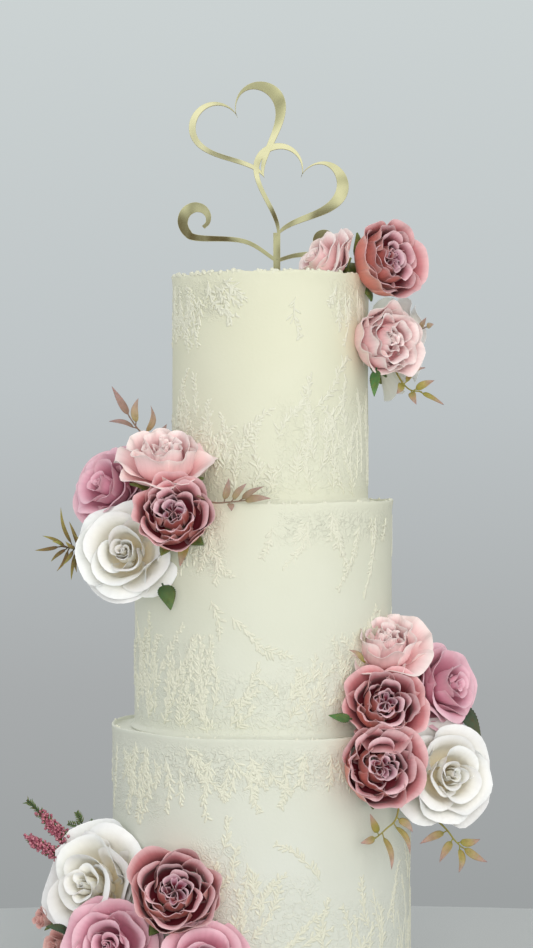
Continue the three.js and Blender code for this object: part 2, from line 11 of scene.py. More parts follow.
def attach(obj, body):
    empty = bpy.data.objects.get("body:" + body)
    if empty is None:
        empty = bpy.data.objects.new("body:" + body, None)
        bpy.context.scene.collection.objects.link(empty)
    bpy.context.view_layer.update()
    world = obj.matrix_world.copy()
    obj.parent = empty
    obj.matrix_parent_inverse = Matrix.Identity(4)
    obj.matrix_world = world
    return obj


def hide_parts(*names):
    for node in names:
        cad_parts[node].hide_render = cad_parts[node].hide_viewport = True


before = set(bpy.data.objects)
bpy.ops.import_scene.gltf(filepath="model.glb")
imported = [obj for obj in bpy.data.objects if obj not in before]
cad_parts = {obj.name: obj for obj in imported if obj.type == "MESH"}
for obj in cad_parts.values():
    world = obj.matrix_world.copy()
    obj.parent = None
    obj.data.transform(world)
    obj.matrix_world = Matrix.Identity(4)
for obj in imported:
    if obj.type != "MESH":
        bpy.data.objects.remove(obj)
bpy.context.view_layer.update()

# ---- Studio ----
# A long lens at the height of the middle tier looks straight at the front of the cake. Soft lights
# stand at the front right, beside the lens and behind at the left. The walls of the room are pale
# grey, and the table's back edge shows low behind the cake.
CAMERA_PLACE = Vector((0.0039, -1.85, 0.4155))
CAMERA_TILT = 89.46
CAMERA_LENS = 89.1
SENSOR_WIDTH = 36.0
LIGHTS_AIM = Vector((0, 0, 0.36))
# Name, place, size, power and colour.
LIGHTS = [
    ("key_light", Vector((0.9, -1.85, 1.0)), 1.7, 16.3, (1.0, 0.985, 0.95)),
    ("fill_light", Vector((-0.12, -2.1, 0.55)), 1.0, 13.0, (1.0, 0.985, 0.955)),
    ("rim_light", Vector((-1.6, 0.9, 1.3)), 1.2, 9.0, (0.94, 0.97, 1.0)),
]
ROOM_COLOUR = (0.9, 0.94, 0.97, 1.0)
ROOM_LIGHT = 0.62
MIRROR_CARD_LIGHT = 0.8
TABLE_RADIUS = 1.6
TABLE_BACK = 0.3


def paint(red, green, blue):
    """A colour as it is seen on a screen, 0 to 255, as the linear colour that a shader takes."""
    parts = [part / 255 for part in (red, green, blue)]
    return tuple(p / 12.92 if p <= 0.04045 else ((p + 0.055) / 1.055) ** 2.4 for p in parts) + (1.0,)


def plug(tree, value, socket):
    """Gives a socket a plain value, or the output of another node."""
    if isinstance(value, bpy.types.NodeSocket):
        tree.links.new(value, socket)
    else:
        socket.default_value = value


def feed(tree, node, **named):
    """Gives a node its settings and its sockets by name."""
    for name, value in named.items():
        if hasattr(node, name):
            setattr(node, name, value)
        else:
            plug(tree, value, node.inputs[name.replace("_", " ")])


def add_node(tree, kind, *values, **named):
    """A shader node, with values for its first sockets in turn and the rest by name."""
    node = tree.nodes.new("ShaderNode" + kind)
    feed(tree, node, **named)
    for value, socket in zip(values, node.inputs):
        plug(tree, value, socket)
    return node


def compute(tree, operation, first, second):
    return add_node(tree, "Math", first, second, operation=operation).outputs[0]


def rescale(tree, value, low, high, new_low=0.0, new_high=1.0):
    """A value taken from one range to another, and kept inside it."""
    return add_node(tree, "MapRange", value, low, high, new_low, new_high).outputs["Result"]


def ramp(tree, factor, *stops):
    """A colour ramp along a factor. Each stop is its position and its colour on a screen."""
    node = add_node(tree, "ValToRGB", factor)
    elements = node.color_ramp.elements
    while len(elements) < len(stops):
        elements.new(1.0)
    for element, (position, *colour) in zip(elements, stops):
        element.position = position
        element.color = paint(*colour)
    return node.outputs["Color"]


def object_noise(tree, scale, detail=2.0, distortion=0.0):
    place = add_node(tree, "TexCoord").outputs["Object"]
    return add_node(tree, "TexNoise", place, Scale=scale, Detail=detail, Distortion=distortion).outputs["Fac"]


def bump(tree, height, strength, distance, **under):
    """The normal of a bumpy surface, which may lie on another bump."""
    node = add_node(tree, "Bump", Strength=strength, Distance=distance, Height=height, **under)
    return node.outputs["Normal"]


def new_material(name, **values):
    """A material whose Principled shader has plain values, with its tree and that shader."""
    material = bpy.data.materials.new(name)
    material.use_nodes = True
    shader = material.node_tree.nodes["Principled BSDF"]
    feed(material.node_tree, shader, **values)
    return material, material.node_tree, shader


def add_object(name, data):
    piece = bpy.data.objects.new(name, data)
    bpy.context.scene.collection.objects.link(piece)
    return piece


scene = bpy.context.scene
scene.view_settings.view_transform = "Standard"
camera_data = bpy.data.cameras.new("camera")
camera_data.sensor_width = SENSOR_WIDTH
camera_data.lens = CAMERA_LENS
camera = add_object("camera", camera_data)
camera.location = CAMERA_PLACE
camera.rotation_euler = (math.radians(CAMERA_TILT), 0, 0)
scene.camera = camera

for name, place, size, power, colour in LIGHTS:
    light = bpy.data.lights.new(name, "AREA")
    light.size = size
    light.energy = power
    light.color = colour
    lamp = add_object(name, light)
    lamp.location = place
    lamp.rotation_euler = (LIGHTS_AIM - place).to_track_quat("-Z", "Y").to_euler()
    lamp.visible_glossy = False

# The camera sees the walls, and mirrors see a cloudy card that is dark low down and bright above.
world = bpy.data.worlds.new("room")
scene.world = world
world.use_nodes = True
tree = world.node_tree
tree.nodes.clear()
direction = add_node(tree, "TexCoord").outputs["Generated"]
height = add_node(tree, "SeparateXYZ", direction).outputs["Z"]
wall_colour = ramp(
    tree, rescale(tree, height, -0.24, 0.22),
    (0.0, 150, 154, 154), (0.3, 168, 171, 172), (0.58, 190, 196, 198), (1.0, 206, 213, 213),
)
clouds = add_node(tree, "TexNoise", direction, Scale=30.0, Detail=1.0).outputs["Fac"]
clouds = rescale(tree, clouds, 0.35, 0.65, 0.22, 0.76)
brightness = compute(tree, "ADD", clouds, rescale(tree, height, 0.07, 0.15, -0.16, 0.2))
card_colour = ramp(
    tree, brightness,
    (0.3, 104.6, 89, 63.2), (0.41, 180.6, 180.6, 169.6), (0.54, 238.6, 241, 231.1), (0.7, 304.5, 304.5, 300),
)
room = add_node(tree, "Background", ROOM_COLOUR, ROOM_LIGHT).outputs[0]
card = add_node(tree, "Background", card_colour, MIRROR_CARD_LIGHT).outputs[0]
walls = add_node(tree, "Background", wall_colour, 1.0).outputs[0]
path = add_node(tree, "LightPath")
glossy = add_node(tree, "MixShader", path.outputs["Is Glossy Ray"], room, card).outputs[0]
seen = add_node(tree, "MixShader", path.outputs["Is Camera Ray"], glossy, walls).outputs[0]
add_node(tree, "OutputWorld", seen)

cloth, tree, shader = new_material("pale_cloth", Roughness=0.85)
weave = object_noise(tree, 900.0)
cloth_colour = ramp(tree, weave, (0.3, 186, 188, 187), (0.7, 198, 200, 198))
feed(tree, shader, Base_Color=cloth_colour, Normal=bump(tree, weave, 0.2, 0.0004))
table_mesh = bpy.data.meshes.new("table_top")
bm = bmesh.new()
table_place = Matrix.Translation((0, TABLE_BACK - TABLE_RADIUS, 0))
bmesh.ops.create_circle(bm, cap_ends=True, segments=96, radius=TABLE_RADIUS, matrix=table_place)
bm.to_mesh(table_mesh)
bm.free()
table_mesh.materials.append(cloth)
add_object("table_top", table_mesh)

# ---- Tiers ----
# Three tall round cakes, each in a thin smooth coat of ivory buttercream that ends in a thin
# uneven lip round the top. Sprays of small raised leaflets and fine crumpled strokes are spread on
# the walls while the icing is soft. They hang from the lips and rise from the bases.
LIP_THICKNESS = 0.0024
LIP_RISE = 0.0028
LIP_ROOT = 0.001
LIP_EDGE = 0.001
LIP_SOFT = 0.0003
LIP_WAVE = {"out": 0.0006, "up": 0.00045, "slow": 2, "quick": 7, "shift": 1.7}
BASE_ROUND = 0.0015
WALL_ROWS = 30
WALL_STEPS = 240
# The fillet at the foot of a tier that stands on another: out and up in shares of its size.
FLARE = [(0.9, 0), (1, 0.12), (0.9, 0.3), (0.5, 0.7), (0.15, 1.15)]
# Each tier stands at its base, a little across from the middle, and its foot starts that far up.
TIERS = [
    {"node": "tier_bottom", "radius": 0.1173, "height": 0.2, "base": 0.0, "across": 0.0,
     "foot": 0.0, "flare": 0.0, "ragged": 0.0004},
    {"node": "tier_middle", "radius": 0.1013, "height": 0.175, "base": 0.2, "across": 0.0013,
     "foot": 0.0003, "flare": 0.003, "ragged": 0.0006},
    {"node": "tier_top", "radius": 0.077, "height": 0.175, "base": 0.375, "across": 0.0069,
     "foot": 0.0003, "flare": 0.003, "ragged": 0.0014},
]
SPRAY_STEP = 0.003
STEM_GRAIN = {"width": 0.0013, "height": 0.0005}
LEAFLET = 0.0075
# Crumbs on a lip for each metre that it is ragged by, and how far their middles lie in the wall.
CRUMBS = 150000
CRUMB_SUNK = 0.0008
# Each spray: angle round the tier (0 is the front, positive to the right), height in mm, heading
# from upright, length in mm, and how far it bends along its length.
SPRAYS = {
    "tier_bottom": [
        (-38, 186, 160, 40, 40), (-18, 188, 205, 44, -40), (2, 20, 10, 42, 50), (22, 96, -30, 44, -40),
        (50, 30, 20, 46, -50), (120, 20, -15, 46, 40), (-72, 192, 185, 50, 20), (-64, 190, 165, 40, -30),
        (-56, 192, 175, 48, 40), (-47, 192, 190, 36, -30), (-29, 196, 150, 26, -50),
        (-25, 176, 110, 30, 30), (-10, 184, 175, 20, 30), (-3, 188, 190, 40, -35), (8, 186, 165, 34, 40),
        (16, 192, 200, 24, -40), (26, 190, 170, 24, 30), (-14, 120, 20, 24, -30), (-5, 112, 175, 30, 30),
        (-8, 50, 15, 40, -35), (-20, 46, -15, 40, 35), (10, 44, 25, 40, 40), (24, 40, -15, 42, 40),
        (34, 30, 10, 46, -35), (60, 50, -10, 50, 40), (72, 30, 5, 60, -30), (80, 80, 10, 40, 30),
        (0, 74, -25, 30, 30), (44, 56, -25, 40, 30),
    ],
    "tier_middle": [
        (-33, 76, 165, 40, 45), (-22, 22, 20, 46, -50), (20, 22, 15, 40, 40), (-24, 150, 165, 34, -40),
        (20, 160, 195, 36, 40), (130, 24, -10, 46, 40), (200, 24, 10, 46, -40), (-31, 156, 190, 36, 30),
        (-20, 142, 170, 24, 30), (-23, 104, 150, 26, 30), (-14, 92, 125, 36, 30), (-1, 70, 120, 24, -30),
        (-72, 20, 5, 60, 20), (-66, 40, -10, 50, -25), (-60, 12, 15, 56, 30), (-54, 36, -15, 40, 35),
        (-48, 8, 20, 50, -30), (-42, 30, 10, 44, 35), (-38, 6, -10, 40, 30), (-33, 20, 25, 40, -35),
        (-27, 44, -15, 30, 30), (-24, 4, -20, 30, 30), (-14, 10, 20, 34, 35), (10, 30, 60, 30, -30),
        (28, 20, -20, 36, 30), (36, 24, 10, 50, -40), (42, 40, 30, 34, 30), (33, 162, 175, 34, -30),
        (46, 160, 190, 50, 30), (58, 166, 180, 60, 30), (4, 160, 185, 24, 30), (50, 60, 10, 40, 30),
        (-46, 60, 25, 26, 20),
    ],
    "tier_top": [
        (-46, 160, 165, 34, 45), (-58, 52, 15, 36, -45), (-6, 26, -20, 40, 45), (18, 30, 25, 42, -40),
        (14, 158, 190, 30, -40), (150, 24, -12, 40, 40), (220, 156, 170, 36, -40), (-74, 170, 185, 46, 25),
        (-66, 168, 175, 50, -25), (-57, 170, 170, 46, 20), (-52, 166, 190, 40, 30),
        (-40, 166, 150, 34, -30), (-34, 168, 135, 32, 40), (-28, 170, 115, 24, 30), (-70, 56, 10, 50, 25),
        (-48, 66, 5, 34, -20), (-46, 56, 120, 28, -25), (-60, 26, 20, 40, 30), (-36, 46, -20, 34, 35),
        (-28, 24, 15, 44, -35), (-20, 6, -10, 36, 30), (-16, 50, 30, 30, 30), (4, 50, 20, 34, 30),
        (12, 66, 40, 36, -30), (26, 74, 55, 34, -30), (30, 50, 20, 40, 35), (24, 8, -20, 40, 35),
        (38, 10, 10, 54, -30), (48, 30, 15, 50, 35), (56, 6, -15, 50, 30), (66, 24, 5, 60, -25),
        (74, 50, -5, 40, 25), (52, 162, 175, 40, 30), (64, 160, 185, 50, -30), (40, 96, 30, 20, 20),
    ],
}
# Patches where sprays crowd together: from and to an angle, from and to a height in mm, their
# heading and how far it varies, how many there are, and their length in mm.
PATCHES = {
    "tier_bottom": [
        (-80, -40, 158, 196, 180, 20, 10, 36), (-40, -8, 176, 197, 165, 35, 7, 24),
        (-6, 30, 178, 196, 180, 30, 6, 24), (-24, -8, 40, 110, 0, 40, 5, 28),
        (-6, 20, 30, 84, 10, 40, 6, 30), (25, 60, 4, 60, 0, 30, 7, 38), (62, 84, 10, 90, 0, 20, 7, 42),
        (-60, 20, 2, 20, 0, 35, 8, 30),
    ],
    "tier_middle": [
        (-82, -50, 4, 50, 5, 20, 10, 42), (-50, -22, 4, 52, 10, 30, 9, 38),
        (-22, 30, 2, 34, 20, 60, 9, 26), (5, 30, 30, 50, 20, 60, 2, 28), (30, 60, 6, 56, 0, 30, 8, 38),
        (-30, -18, 140, 172, 180, 25, 4, 26), (8, 72, 160, 172, 185, 30, 9, 22),
        (60, 84, 10, 60, 0, 25, 5, 40),
    ],
    "tier_top": [
        (-84, -46, 152, 172, 180, 22, 8, 32), (-44, -26, 156, 172, 150, 30, 4, 22),
        (-80, -44, 6, 56, 8, 22, 8, 34), (-40, -12, 2, 42, 5, 30, 6, 30), (4, 40, 4, 60, 15, 35, 8, 34),
        (42, 84, 4, 66, 0, 22, 9, 42), (38, 70, 158, 172, 180, 20, 5, 30), (-12, 4, 2, 14, 0, 40, 3, 20),
    ],
}
# Round the back, thinner sprays go on between two angles, with weaker strokes low down.
BACK_FROM = 84
BACK_TO = 280
BACK_STROKES = {"most": 0.35, "fade": 10, "top": 60, "thin_out": 40}
# The area, in degrees by mm, that one spray of a patch fills with strokes.
SPRAY_AREA = 110


def finish_piece(name, bm, materials, node=None):
    """The finished mesh as a smooth piece that rides on the cake, in place of its CAD node."""
    mesh = bpy.data.meshes.new(name)
    bm.to_mesh(mesh)
    bm.free()
    for material in materials:
        mesh.materials.append(material)
    mesh.shade_smooth()
    piece = add_object(name, mesh)
    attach(piece, "root")
    if node:
        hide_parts(node)
    return piece


def held(share):
    """A share held between 0 and 1."""
    return min(1, max(0, share))


def lip_wave(order, angle):
    """How far the lip of icing waves out and up."""
    shift = LIP_WAVE["shift"] * order
    slow = math.sin(LIP_WAVE["slow"] * angle + shift)
    quick = math.sin(LIP_WAVE["quick"] * angle + shift)
    return LIP_WAVE["out"] * (1 + slow), LIP_WAVE["up"] * (quick + slow)


def lace_share(node, angle, up):
    """How much of the fine crumpled strokes lies at a place on a tier's wall, from 0 to 1."""
    angle = (angle + 90) % 360 - 90
    fade = BACK_STROKES["fade"]
    back = held(min(angle - BACK_FROM, BACK_TO - fade - angle) / fade)
    most = BACK_STROKES["most"] * back * held((BACK_STROKES["top"] - up) / BACK_STROKES["thin_out"])
    for first, last, low, high, heading, spread, count, length in PATCHES[node]:
        hanging = length * 0.6 if heading > 90 else 0
        rising = length * 0.6 if heading < 90 else 0
        sides = min((angle - first + 4) / 6, (last + 4 - angle) / 6)
        ends = min((up - low + hanging + 4) / 12, (high + rising + 4 - up) / 12)
        crowd = min(1, count * SPRAY_AREA / ((last - first) * (high - low + length)))
        most = max(most, held(min(sides, ends)) * crowd)
    return most


def tier_wall(bm, tier, order):
    """The turned body of a tier, moved off the true round as a spatula leaves it."""
    radius, top, foot, flare = tier["radius"], tier["height"], tier["foot"], tier["flare"]
    lip, inner, bare = top + LIP_RISE, radius - LIP_THICKNESS, foot + BASE_ROUND + flare
    profile = [(0, foot), (radius * 0.5, foot), (radius - BASE_ROUND, foot)]
    if flare:
        profile += [(radius + flare * out, foot + flare * up) for out, up in FLARE]
    else:
        profile += [(radius - BASE_ROUND * 0.3, foot + BASE_ROUND * 0.3)]
    rise = top - 2 * LIP_RISE - bare
    profile += [(radius, bare + rise * row / WALL_ROWS) for row in range(WALL_ROWS + 1)]
    profile += [
        (radius, top - LIP_RISE), (radius, top), (radius, lip - LIP_EDGE),
        (radius - LIP_SOFT, lip - LIP_SOFT), (radius - LIP_THICKNESS / 2, lip),
        (inner + LIP_SOFT, lip - LIP_SOFT), (inner, lip - LIP_EDGE),
        (inner - LIP_ROOT * 0.4, top + LIP_ROOT * 0.4), (inner - LIP_ROOT, top),
        (inner * 0.9, top), (inner * 0.6, top), (0, top),
    ]
    line = [bm.verts.new((reach, 0, up)) for reach, up in profile]
    edges = [bm.edges.new(pair) for pair in zip(line, line[1:])]
    bmesh.ops.spin(
        bm, geom=line + edges, cent=(0, 0, 0), axis=(0, 0, 1), angle=2 * math.pi, steps=WALL_STEPS,
        use_merge=True,
    )
    bmesh.ops.remove_doubles(bm, verts=bm.verts, dist=1e-6)
    lace = bm.verts.layers.float["lace"]
    for vert in bm.verts:
        reach = vert.co.xy.length
        if reach < 1e-5:
            continue
        angle = math.atan2(vert.co.y, vert.co.x)
        vert[lace] = lace_share(tier["node"], math.degrees(angle) + 90, vert.co.z * 1000)
        round_place = Vector((math.cos(angle), math.sin(angle), 0)) * radius
        place = round_place + Vector((0, 0, vert.co.z + order))
        near_lip = held((vert.co.z - (top - 2 * LIP_RISE)) / (3 * LIP_RISE))
        out = 0.0004 * noise.noise(place * 22) * held(reach / radius * 4 - 3)
        rise = 0.0
        if reach > inner - LIP_ROOT * 0.5:
            wave_out, wave_up = lip_wave(order, angle)
            out += (wave_out + 0.5 * tier["ragged"] * noise.noise(place * 160)) * near_lip
            tear = tier["ragged"] * noise.noise(round_place * 240 + Vector((0, 0, order)))
            rise = (wave_up + tear) * near_lip
        elif vert.co.z > top / 2:
            rise = 0.0006 * noise.noise(Vector((vert.co.x, vert.co.y, 0)) * 45)
        vert.co.xy *= (reach + out) / reach
        vert.co.z += rise
    bmesh.ops.recalc_face_normals(bm, faces=bm.faces)


def grain(bm, radius, along, up, heading, length, width, height):
    """One raised grain of icing, long and round, half sunk in the wall."""
    angle = along / radius - math.pi / 2
    outward = Vector((math.cos(angle), math.sin(angle), 0))
    tangent = Vector((-outward.y, outward.x, 0))
    way = tangent * math.sin(heading) + Vector((0, 0, 1)) * math.cos(heading)
    side = outward.cross(way)
    turn = Matrix((side, outward, way)).transposed().to_4x4()
    place = Matrix.Translation(outward * radius + Vector((0, 0, up)))
    size = Matrix.Diagonal((width / 2, height, length / 2, 1))
    bmesh.ops.create_uvsphere(bm, u_segments=6, v_segments=4, radius=1, matrix=place @ turn @ size)


def join_to(body, bm):
    """A small finished mesh joined to the body that it lies on."""
    part = bpy.data.meshes.new("part")
    bm.to_mesh(part)
    bm.free()
    body.from_mesh(part)
    bpy.data.meshes.remove(part)


def join_raised(body, bm, share):
    """Grains joined to their tier, marked as raised so that they get a paler painted highlight."""
    raised = bm.verts.layers.float.new("raised")
    for vert in bm.verts:
        vert[raised] = share
    join_to(body, bm)


def spray(body, radius, placed, chance):
    """A spray: a curved stem of short grains, with leaflets in pairs that grow shorter to the tip."""
    bm = bmesh.new()
    angle, up, heading, length, curl = placed
    along, up = math.radians(angle) * radius, up / 1000
    count = max(3, round(length / 1000 / SPRAY_STEP))
    for joint in range(count):
        share = joint / count
        bend = math.radians(heading + curl * share)
        along += math.sin(bend) * SPRAY_STEP
        up += math.cos(bend) * SPRAY_STEP
        turn = bend + chance.uniform(-0.25, 0.25)
        grain(bm, radius, along, up, turn, SPRAY_STEP * 1.9, **STEM_GRAIN)
        for side in (-1, 1):
            if chance.random() < 0.2:
                continue
            leaf = LEAFLET * (1 - 0.45 * share) * chance.uniform(0.5, 1.25)
            turn = bend + side * math.radians(chance.uniform(8, 62))
            foot = leaf * chance.uniform(0.35, 0.65)
            far, high = along + math.sin(turn) * foot, up + math.cos(turn) * foot
            depth = chance.uniform(0.0003, 0.0007) * (1 - 0.5 * math.sin(math.radians(angle)))
            grain(bm, radius, far, high, turn, leaf, chance.uniform(0.0016, 0.0028), depth)
    join_raised(body, bm, 1.0)


def tier_sprays(tier, chance):
    """The sprays of the front, those that go on round the back, and those of the patches."""
    placed = list(SPRAYS[tier["node"]])
    angle = BACK_FROM
    while angle < BACK_TO:
        rising = (chance.uniform(4, 40), chance.uniform(-25, 25), chance.uniform(30, 54))
        placed.append((angle, *rising, chance.uniform(-40, 40)))
        if chance.random() < 0.55:
            hanging = (tier["height"] * 1000 - 8, 180 + chance.uniform(-25, 25), chance.uniform(24, 44))
            placed.append((angle + 4, *hanging, chance.uniform(-40, 40)))
        angle += chance.uniform(7, 13)
    for first, last, low, high, heading, spread, count, length in PATCHES[tier["node"]]:
        for number in range(count):
            turn = heading + chance.uniform(-spread, spread)
            size = length * chance.uniform(0.6, 1.15)
            place = (chance.uniform(first, last), chance.uniform(low, high))
            placed.append((*place, turn, size, chance.uniform(-40, 40)))
    return placed


def lip_crumbs(body, tier, chance):
    """The torn bits of icing along a lip."""
    bm = bmesh.new()
    for crumb in range(round(tier["ragged"] * CRUMBS)):
        around = chance.uniform(-math.pi, math.pi) * tier["radius"]
        size = chance.uniform(0.0012, 0.0026 + tier["ragged"])
        up = tier["height"] + LIP_RISE - chance.uniform(0, 0.0015)
        turn = chance.uniform(0, 3.1)
        grain(bm, tier["radius"] - CRUMB_SUNK, around, up, turn, size * 1.5, size, size * 0.5)
    # The crumbs take most of the grains' painted highlight.
    join_raised(body, bm, 0.8)


def blend(tree, factor, first, second, kind="MIX"):
    """Two colours mixed by a factor. A mix node's sockets for colours are its 6th and 7th."""
    node = add_node(tree, "Mix", factor, data_type="RGBA", blend_type=kind)
    plug(tree, first, node.inputs[6])
    plug(tree, second, node.inputs[7])
    return node.outputs[2]


def tinted(tree, colour, factor, low, first=0.3, last=0.7, share=1.0):
    """A colour times a tint that goes to white as the factor goes from a first to a last value."""
    tint = ramp(tree, factor, (first, *low), (last, 255, 255, 255))
    return blend(tree, share, colour, tint, "MULTIPLY")


icing, tree, shader = new_material("ivory_buttercream", Coat_Weight=0.05)
place = add_node(tree, "TexCoord").outputs["Object"]
level = rescale(tree, add_node(tree, "SeparateXYZ", place).outputs["Z"], 0.1, 0.5)
ivory = ramp(tree, level, (0.0, 219, 221, 210), (0.5, 221, 222, 205), (1.0, 224, 223, 199))
ivory = tinted(tree, ivory, object_noise(tree, 14.0), (250.5, 250.5, 248))
crumple = rescale(tree, object_noise(tree, 200.0, 1.0, 2.2), 0.47, 0.62)
patch = add_node(tree, "Attribute", attribute_name="lace").outputs["Fac"]
strokes = compute(tree, "MULTIPLY", crumple, patch)
crest_highlight = add_node(tree, "Attribute", attribute_name="raised").outputs["Fac"]
# Raised grains, lip crumbs and the crumpled strokes turn a paler ivory: a painted highlight where the relief
# catches the light.
ivory = blend(tree, compute(tree, "MAXIMUM", crest_highlight, strokes), ivory, paint(226, 225, 206))
fine = object_noise(tree, 420.0, 4.0)
feed(
    tree, shader, Base_Color=ivory, Roughness=rescale(tree, fine, 0.3, 0.7, 0.42, 0.6),
    Normal=bump(tree, fine, 0.22, 0.0005, Normal=bump(tree, strokes, 0.9, 0.0012)),
)

for order, tier in enumerate(TIERS):
    bm = bmesh.new()
    for layer in ("raised", "lace"):
        bm.verts.layers.float.new(layer)
    tier_wall(bm, tier, order)
    chance = random.Random(order + 11)
    for placed in tier_sprays(tier, chance):
        spray(bm, tier["radius"], placed, chance)
    lip_crumbs(bm, tier, chance)
    bmesh.ops.translate(bm, verts=bm.verts, vec=(tier["across"], 0, tier["base"]))
    finish_piece("icing_" + tier["node"], bm, [icing], tier["node"])

# ---- Topper ----
# Two linked hearts over a pair of curls, laser cut from one sheet of pale gold mirror acrylic,
# on a tapered stake that stands in the top tier. The cut edges are duller than the faces.
TOPPER_PLACE = Vector((0.012, 0, 0.55))
# From here in millimetres, across and up from where the stake enters the cake.
HEARTS = [
    {"width": 80, "centre": (-27, 120), "tilt": 24, "thickness": 0.003},
    {"width": 78, "centre": (15.5, 73), "tilt": -22, "thickness": 0.00294},
]
HEART_BAND = {"left": 5.0, "right": 9.5, "ends": 5.0}
HEART_POINTS = 120
CURLS = [
    {"side": -1, "reach": 76, "height": 34, "radius": 14},
    {"side": 1, "reach": 44, "height": 22, "radius": 8.5},
]
CURL = {"start": 16, "stations": 70, "steps": 8, "turns": 0.9, "thin": 1.4, "thick": 2.8}
CURL_THICKNESS = 0.00288
# Height along the stake and half its width.
STAKE = [(-35, 1.0), (-17.5, 2.75), (0, 2.75), (38, 2.75)]
STAKE_THICKNESS = 0.00282
CUT_BEVEL = 0.15
CUT_ANGLE = 1.2
SHARP_ANGLE = 20

gold_face, tree, shader = new_material("pale_gold_mirror", Metallic=1.0, Roughness=0.05)
gold = ramp(tree, object_noise(tree, 9.0, 1.0), (0.3, 214, 211, 166), (0.7, 232, 229, 192))
feed(tree, shader, Base_Color=gold, Normal=bump(tree, object_noise(tree, 22.0, 1.0), 0.12, 0.003))
gold_edge, tree, shader = new_material("gold_cut_edge", Metallic=0.6, Roughness=0.3)
saw = object_noise(tree, 700.0)
gold = ramp(tree, saw, (0.3, 200, 190, 138), (0.7, 232, 226, 188))
feed(tree, shader, Base_Color=gold, Normal=bump(tree, saw, 0.2, 0.0002))


def smooth_path(points, count):
    """Points spread evenly along a smooth line through a few points."""
    points = [Vector(point) for point in points]
    points = [points[0] * 2 - points[1]] + points + [points[-1] * 2 - points[-2]]
    spans = len(points) - 3
    line = []
    for step in range(count + 1):
        place = min(step / count * spans, spans - 1e-6)
        i, t = int(place), place - int(place)
        a, b, c, d = points[i:i + 4]
        square, cube = 2 * a - 5 * b + 4 * c - d, 3 * b - a - 3 * c + d
        line.append(0.5 * (2 * b + (c - a) * t + square * t ** 2 + cube * t ** 3))
    return line


def heart_place(heart, t, band):
    """A point of a heart's outline, set in by a share of the band."""
    turn = math.radians(heart["tilt"])
    inset = band * (HEART_BAND["right"] if math.sin(t) > 0 else HEART_BAND["left"])
    across = math.sin(t) ** 3 * (heart["width"] / 2 - inset)
    lobes = 13 * math.cos(t) - 5 * math.cos(2 * t) - 2 * math.cos(3 * t) - math.cos(4 * t)
    up = lobes * (heart["width"] / 2 - band * HEART_BAND["ends"]) / 16
    right = across * math.cos(turn) - up * math.sin(turn)
    rise = across * math.sin(turn) + up * math.cos(turn)
    return Vector((heart["centre"][0] + right, heart["centre"][1] + rise, 0))


def cut_plate(topper, bm, thickness):
    """A flat outline, across and up, as an upright plate with fine bevelled edges."""
    bmesh.ops.remove_doubles(bm, verts=bm.verts, dist=1e-4)
    sheet = bmesh.ops.extrude_face_region(bm, geom=bm.faces[:])
    front = [part for part in sheet["geom"] if isinstance(part, bmesh.types.BMVert)]
    bmesh.ops.translate(bm, verts=front, vec=(0, 0, thickness * 1000))
    bmesh.ops.recalc_face_normals(bm, faces=bm.faces)
    sharp = [edge for edge in bm.edges if edge.is_manifold and edge.calc_face_angle() > CUT_ANGLE]
    bmesh.ops.bevel(bm, geom=sharp, offset=CUT_BEVEL, affect="EDGES", segments=1, profile=0.5, material=-1)
    for face in bm.faces:
        face.material_index = 0 if abs(face.normal.z) > 0.9 else 1
    upright = Matrix.Rotation(math.pi / 2, 4, "X") @ Matrix.Scale(0.001, 4)
    place = Matrix.Translation(TOPPER_PLACE + Vector((0, thickness / 2, 0)))
    bmesh.ops.transform(bm, verts=bm.verts, matrix=place @ upright)
    join_to(topper, bm)


def ribbon(line, halves):
    """A flat strip along a line, with its half width at each station."""
    bm = bmesh.new()
    count = len(line) - 1
    strip = bmesh.ops.create_grid(bm, x_segments=1, y_segments=count, size=1)
    for vert in strip["verts"]:
        station = round((vert.co.y + 1) / 2 * count)
        way = (line[min(station + 1, count)] - line[max(station - 1, 0)]).normalized()
        vert.co = line[station] + Vector((way.y, -way.x, 0)) * vert.co.x * halves[station]
    return bm


topper = bmesh.new()
for heart in HEARTS:
    bm = bmesh.new()
    for band in (0, 1):
        ring = bmesh.ops.create_circle(bm, segments=HEART_POINTS, radius=1)
        for vert in ring["verts"]:
            vert.co = heart_place(heart, math.atan2(vert.co.x, vert.co.y), band)
    bmesh.ops.bridge_loops(bm, edges=bm.edges[:])
    cut_plate(topper, bm, heart["thickness"])
for curl in CURLS:
    side, reach, rise, radius = curl["side"], curl["reach"], curl["height"], curl["radius"]
    points = [(0, CURL["start"], 0), (side * reach / 3, rise * 0.92, 0)]
    for step in range(CURL["steps"] + 1):
        share = step / CURL["steps"]
        angle = 2 * math.pi * (CURL["turns"] * share - 0.25)
        out = radius * (1 - 0.5 * share)
        across, up = reach - radius + out * math.cos(angle), rise + radius + out * math.sin(angle)
        points.append((side * across, up, 0))
    stations = CURL["stations"]
    shares = [math.sin(math.pi * station / stations) ** 2 for station in range(stations + 1)]
    bm = ribbon(smooth_path(points, stations), [CURL["thin"] + CURL["thick"] * share for share in shares])
    cut_plate(topper, bm, CURL_THICKNESS)
bm = ribbon([Vector((0, up, 0)) for up, _ in STAKE], [half for _, half in STAKE])
cut_plate(topper, bm, STAKE_THICKNESS)
piece = finish_piece("mirror_topper", topper, [gold_face, gold_edge], "topper")
piece.data.set_sharp_from_angle(angle=math.radians(SHARP_ANGLE))
